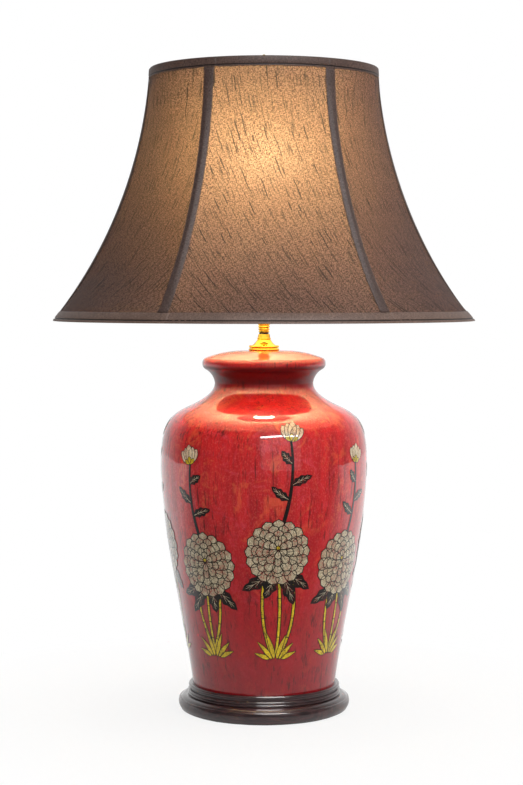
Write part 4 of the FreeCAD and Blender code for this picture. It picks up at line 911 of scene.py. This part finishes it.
def plant(angle, heart, top, side, layer):
    """One plant: grass at its root, stalks, a bloom with leaves, and a stem with a bud."""
    for lean, length in ((-62, 17), (60, 18), (-34, 25), (36, 23), (-12, 31), (14, 28)):
        petal(
            YELLOW, (0.1 * lean, ROOT), lean, length, 5.0, angle, layer + 4,
            outline=0.7, veins=0, fullest=0.35, blunt=0.8, curl=0.10 if lean > 0 else -0.10,
        )
    for offset, bow in ((-13, 0.07), (1, -0.03), (15, -0.09)):
        stalk((0.25 * offset, ROOT + 3), (side * offset, heart - 22), side * bow, 2.3, angle, layer)
    for lean, length in ((118, 34), (152, 38), (-128, 36), (196, 30)):
        foot = (side * 8 * math.sin(math.radians(lean)), heart - 20)
        leaf(foot, side * lean, length, 14, angle, layer + 5)
    stem_end = (side * 13, top - 20)
    stem = bent_line((side * 2, heart + 24), stem_end, -side * 0.06, 26)
    INK.stroke(stem, np.linspace(4.4, 2.6, len(stem)), angle, layer + 3)
    for step, lean, length in ((9, -62, 24), (13, 58, 25), (19, -50, 18)):
        leaf(stem[step], side * lean, length, 9.5, angle, layer + 4, curl=0.15)
    bud(stem_end, side * 9, angle, layer + 6)
    bloom((0, heart), angle, layer + 8)


PLANTS = 8
for number in range(PLANTS):
    tall = number % 2 == 0
    plant(
        angle=math.radians(-82) + 2 * math.pi * number / PLANTS,
        heart=184.0 if tall else 168.0,
        top=322.0 if tall else 296.0,
        side=1 if number % 4 < 2 else -1,
        layer=0 if tall else 1,
    )
for layer in (SILVER, INK, YELLOW, WHITE):
    layer.finished()


# Floor, light and camera.

def make_floor():
    """A white floor that keeps the lamp's shadow."""
    paint = Paint("floor")
    grain = paint.noise(paint.place((3, 3, 3)), detail=1.0)
    colour = paint.mix(grain, (0.86, 0.86, 0.86, 1), (0.9, 0.9, 0.9, 1))
    path = paint.add("LightPath").outputs
    seen = paint.maths("MAXIMUM", path["Is Camera Ray"], path["Is Glossy Ray"])
    seen = paint.maths("MAXIMUM", seen, path["Is Transmission Ray"])
    away = paint.add(
        "VectorMath", {0: paint.add("TexCoord").outputs["Object"]}, operation="LENGTH"
    ).outputs["Value"]
    white = paint.band(away, 0.12, 0.45, 0.85, 1.0)
    mirrored = paint.band(paint.axis("Y"), -0.25, 0.3, 0.08, 1.0)
    strength = paint.add(
        "MapRange", {"Value": path["Is Glossy Ray"], "To Min": 1.0, "To Max": mirrored}
    ).outputs["Result"]
    matt = paint.add("BsdfDiffuse", {"Color": colour}).outputs["BSDF"]
    bright = paint.add("Emission", {"Color": (1, 1, 1, 1), "Strength": strength}).outputs["Emission"]
    both = paint.add("MixShader", {"Fac": white, 1: matt, 2: bright}).outputs["Shader"]
    shader = paint.add("MixShader", {"Fac": seen, 1: matt, 2: both}).outputs["Shader"]
    size = 4.0
    mesh = bpy.data.meshes.new("floor")
    corners = [(-size, -size, 0), (size, -size, 0), (size, size, 0), (-size, size, 0)]
    mesh.from_pydata(corners, [], [(0, 1, 2, 3)])
    mesh.materials.append(paint.finish(shader))
    floor = bpy.data.objects.new("floor", mesh)
    bpy.context.scene.collection.objects.link(floor)


def make_world():
    """A white studio, lit more from the right. Gloss shows a darker front."""
    world = bpy.data.worlds.new("studio")
    bpy.context.scene.world = world
    world.use_nodes = True
    tree = world.node_tree
    tree.nodes.clear()

    def add(kind, **inputs):
        node = tree.nodes.new("ShaderNode" + kind)
        for key, value in inputs.items():
            name = key.replace("_", " ")
            if isinstance(value, bpy.types.NodeSocket):
                tree.links.new(value, node.inputs[name])
            else:
                node.inputs[name].default_value = value
        return node

    def blend(share, first, second):
        return add("MapRange", Value=share, To_Min=first, To_Max=second).outputs["Result"]

    path = tree.nodes.new("ShaderNodeLightPath").outputs
    direction = add("SeparateXYZ", Vector=tree.nodes.new("ShaderNodeTexCoord").outputs["Generated"])
    room = add(
        "MapRange", Value=direction.outputs["Y"], From_Min=0.2, From_Max=1.1, To_Min=0.06, To_Max=1.0
    ).outputs["Result"]
    ambient = add(
        "MapRange", Value=direction.outputs["X"], From_Min=-1.0, From_Max=1.0, To_Min=0.06, To_Max=1.4
    ).outputs["Result"]
    lit = blend(path["Is Glossy Ray"], ambient, room)
    lit = blend(path["Is Transmission Ray"], lit, room)
    lit = blend(path["Is Camera Ray"], lit, 1.0)
    light = add("Background", Color=(1, 1, 1, 1), Strength=lit)
    output = tree.nodes.new("ShaderNodeOutputWorld")
    tree.links.new(light.outputs["Background"], output.inputs["Surface"])


def softbox(name, place, aim, size, power, mirrored):
    """A lamp that either lights the object or only shows in its gloss."""
    data = bpy.data.lights.new(name, "AREA")
    data.shape = "RECTANGLE"
    data.size, data.size_y = size
    data.energy = power
    lamp = bpy.data.objects.new(name, data)
    bpy.context.scene.collection.objects.link(lamp)
    lamp.visible_glossy = mirrored
    lamp.visible_diffuse = not mirrored
    lamp.location = place
    lamp.rotation_euler = (Vector(aim) - Vector(place)).to_track_quat("-Z", "Y").to_euler()


make_floor()
make_world()
# Place, aim and size in metres, and power in watts.
softbox("key", (0.5, -1.5, 0.75), (0, 0, 0.3), (1.3, 0.9), 4, mirrored=False)
softbox("window", (0.5, -1.5, 0.66), (0, 0, 0.3), (1.3, 1.1), 1.4, mirrored=True)
softbox("edge", (0.5, -1.5, 1.27), (0, 0, 0.3), (1.3, 0.11), 9, mirrored=True)
softbox("overhead", (0.2, -0.85, 1.35), (0, 0, 0), (0.9, 0.35), 14, mirrored=True)

camera_data = bpy.data.cameras.new("camera")
camera_data.sensor_width = 36.0
camera_data.lens = 86.22
camera = bpy.data.objects.new("camera", camera_data)
bpy.context.scene.collection.objects.link(camera)
camera.location = (-0.0027, -2.05, 0.4551)
camera.rotation_euler = (math.radians(90 - 3.008), 0, 0)
bpy.context.scene.camera = camera
bpy.context.scene.view_settings.view_transform = "Standard"
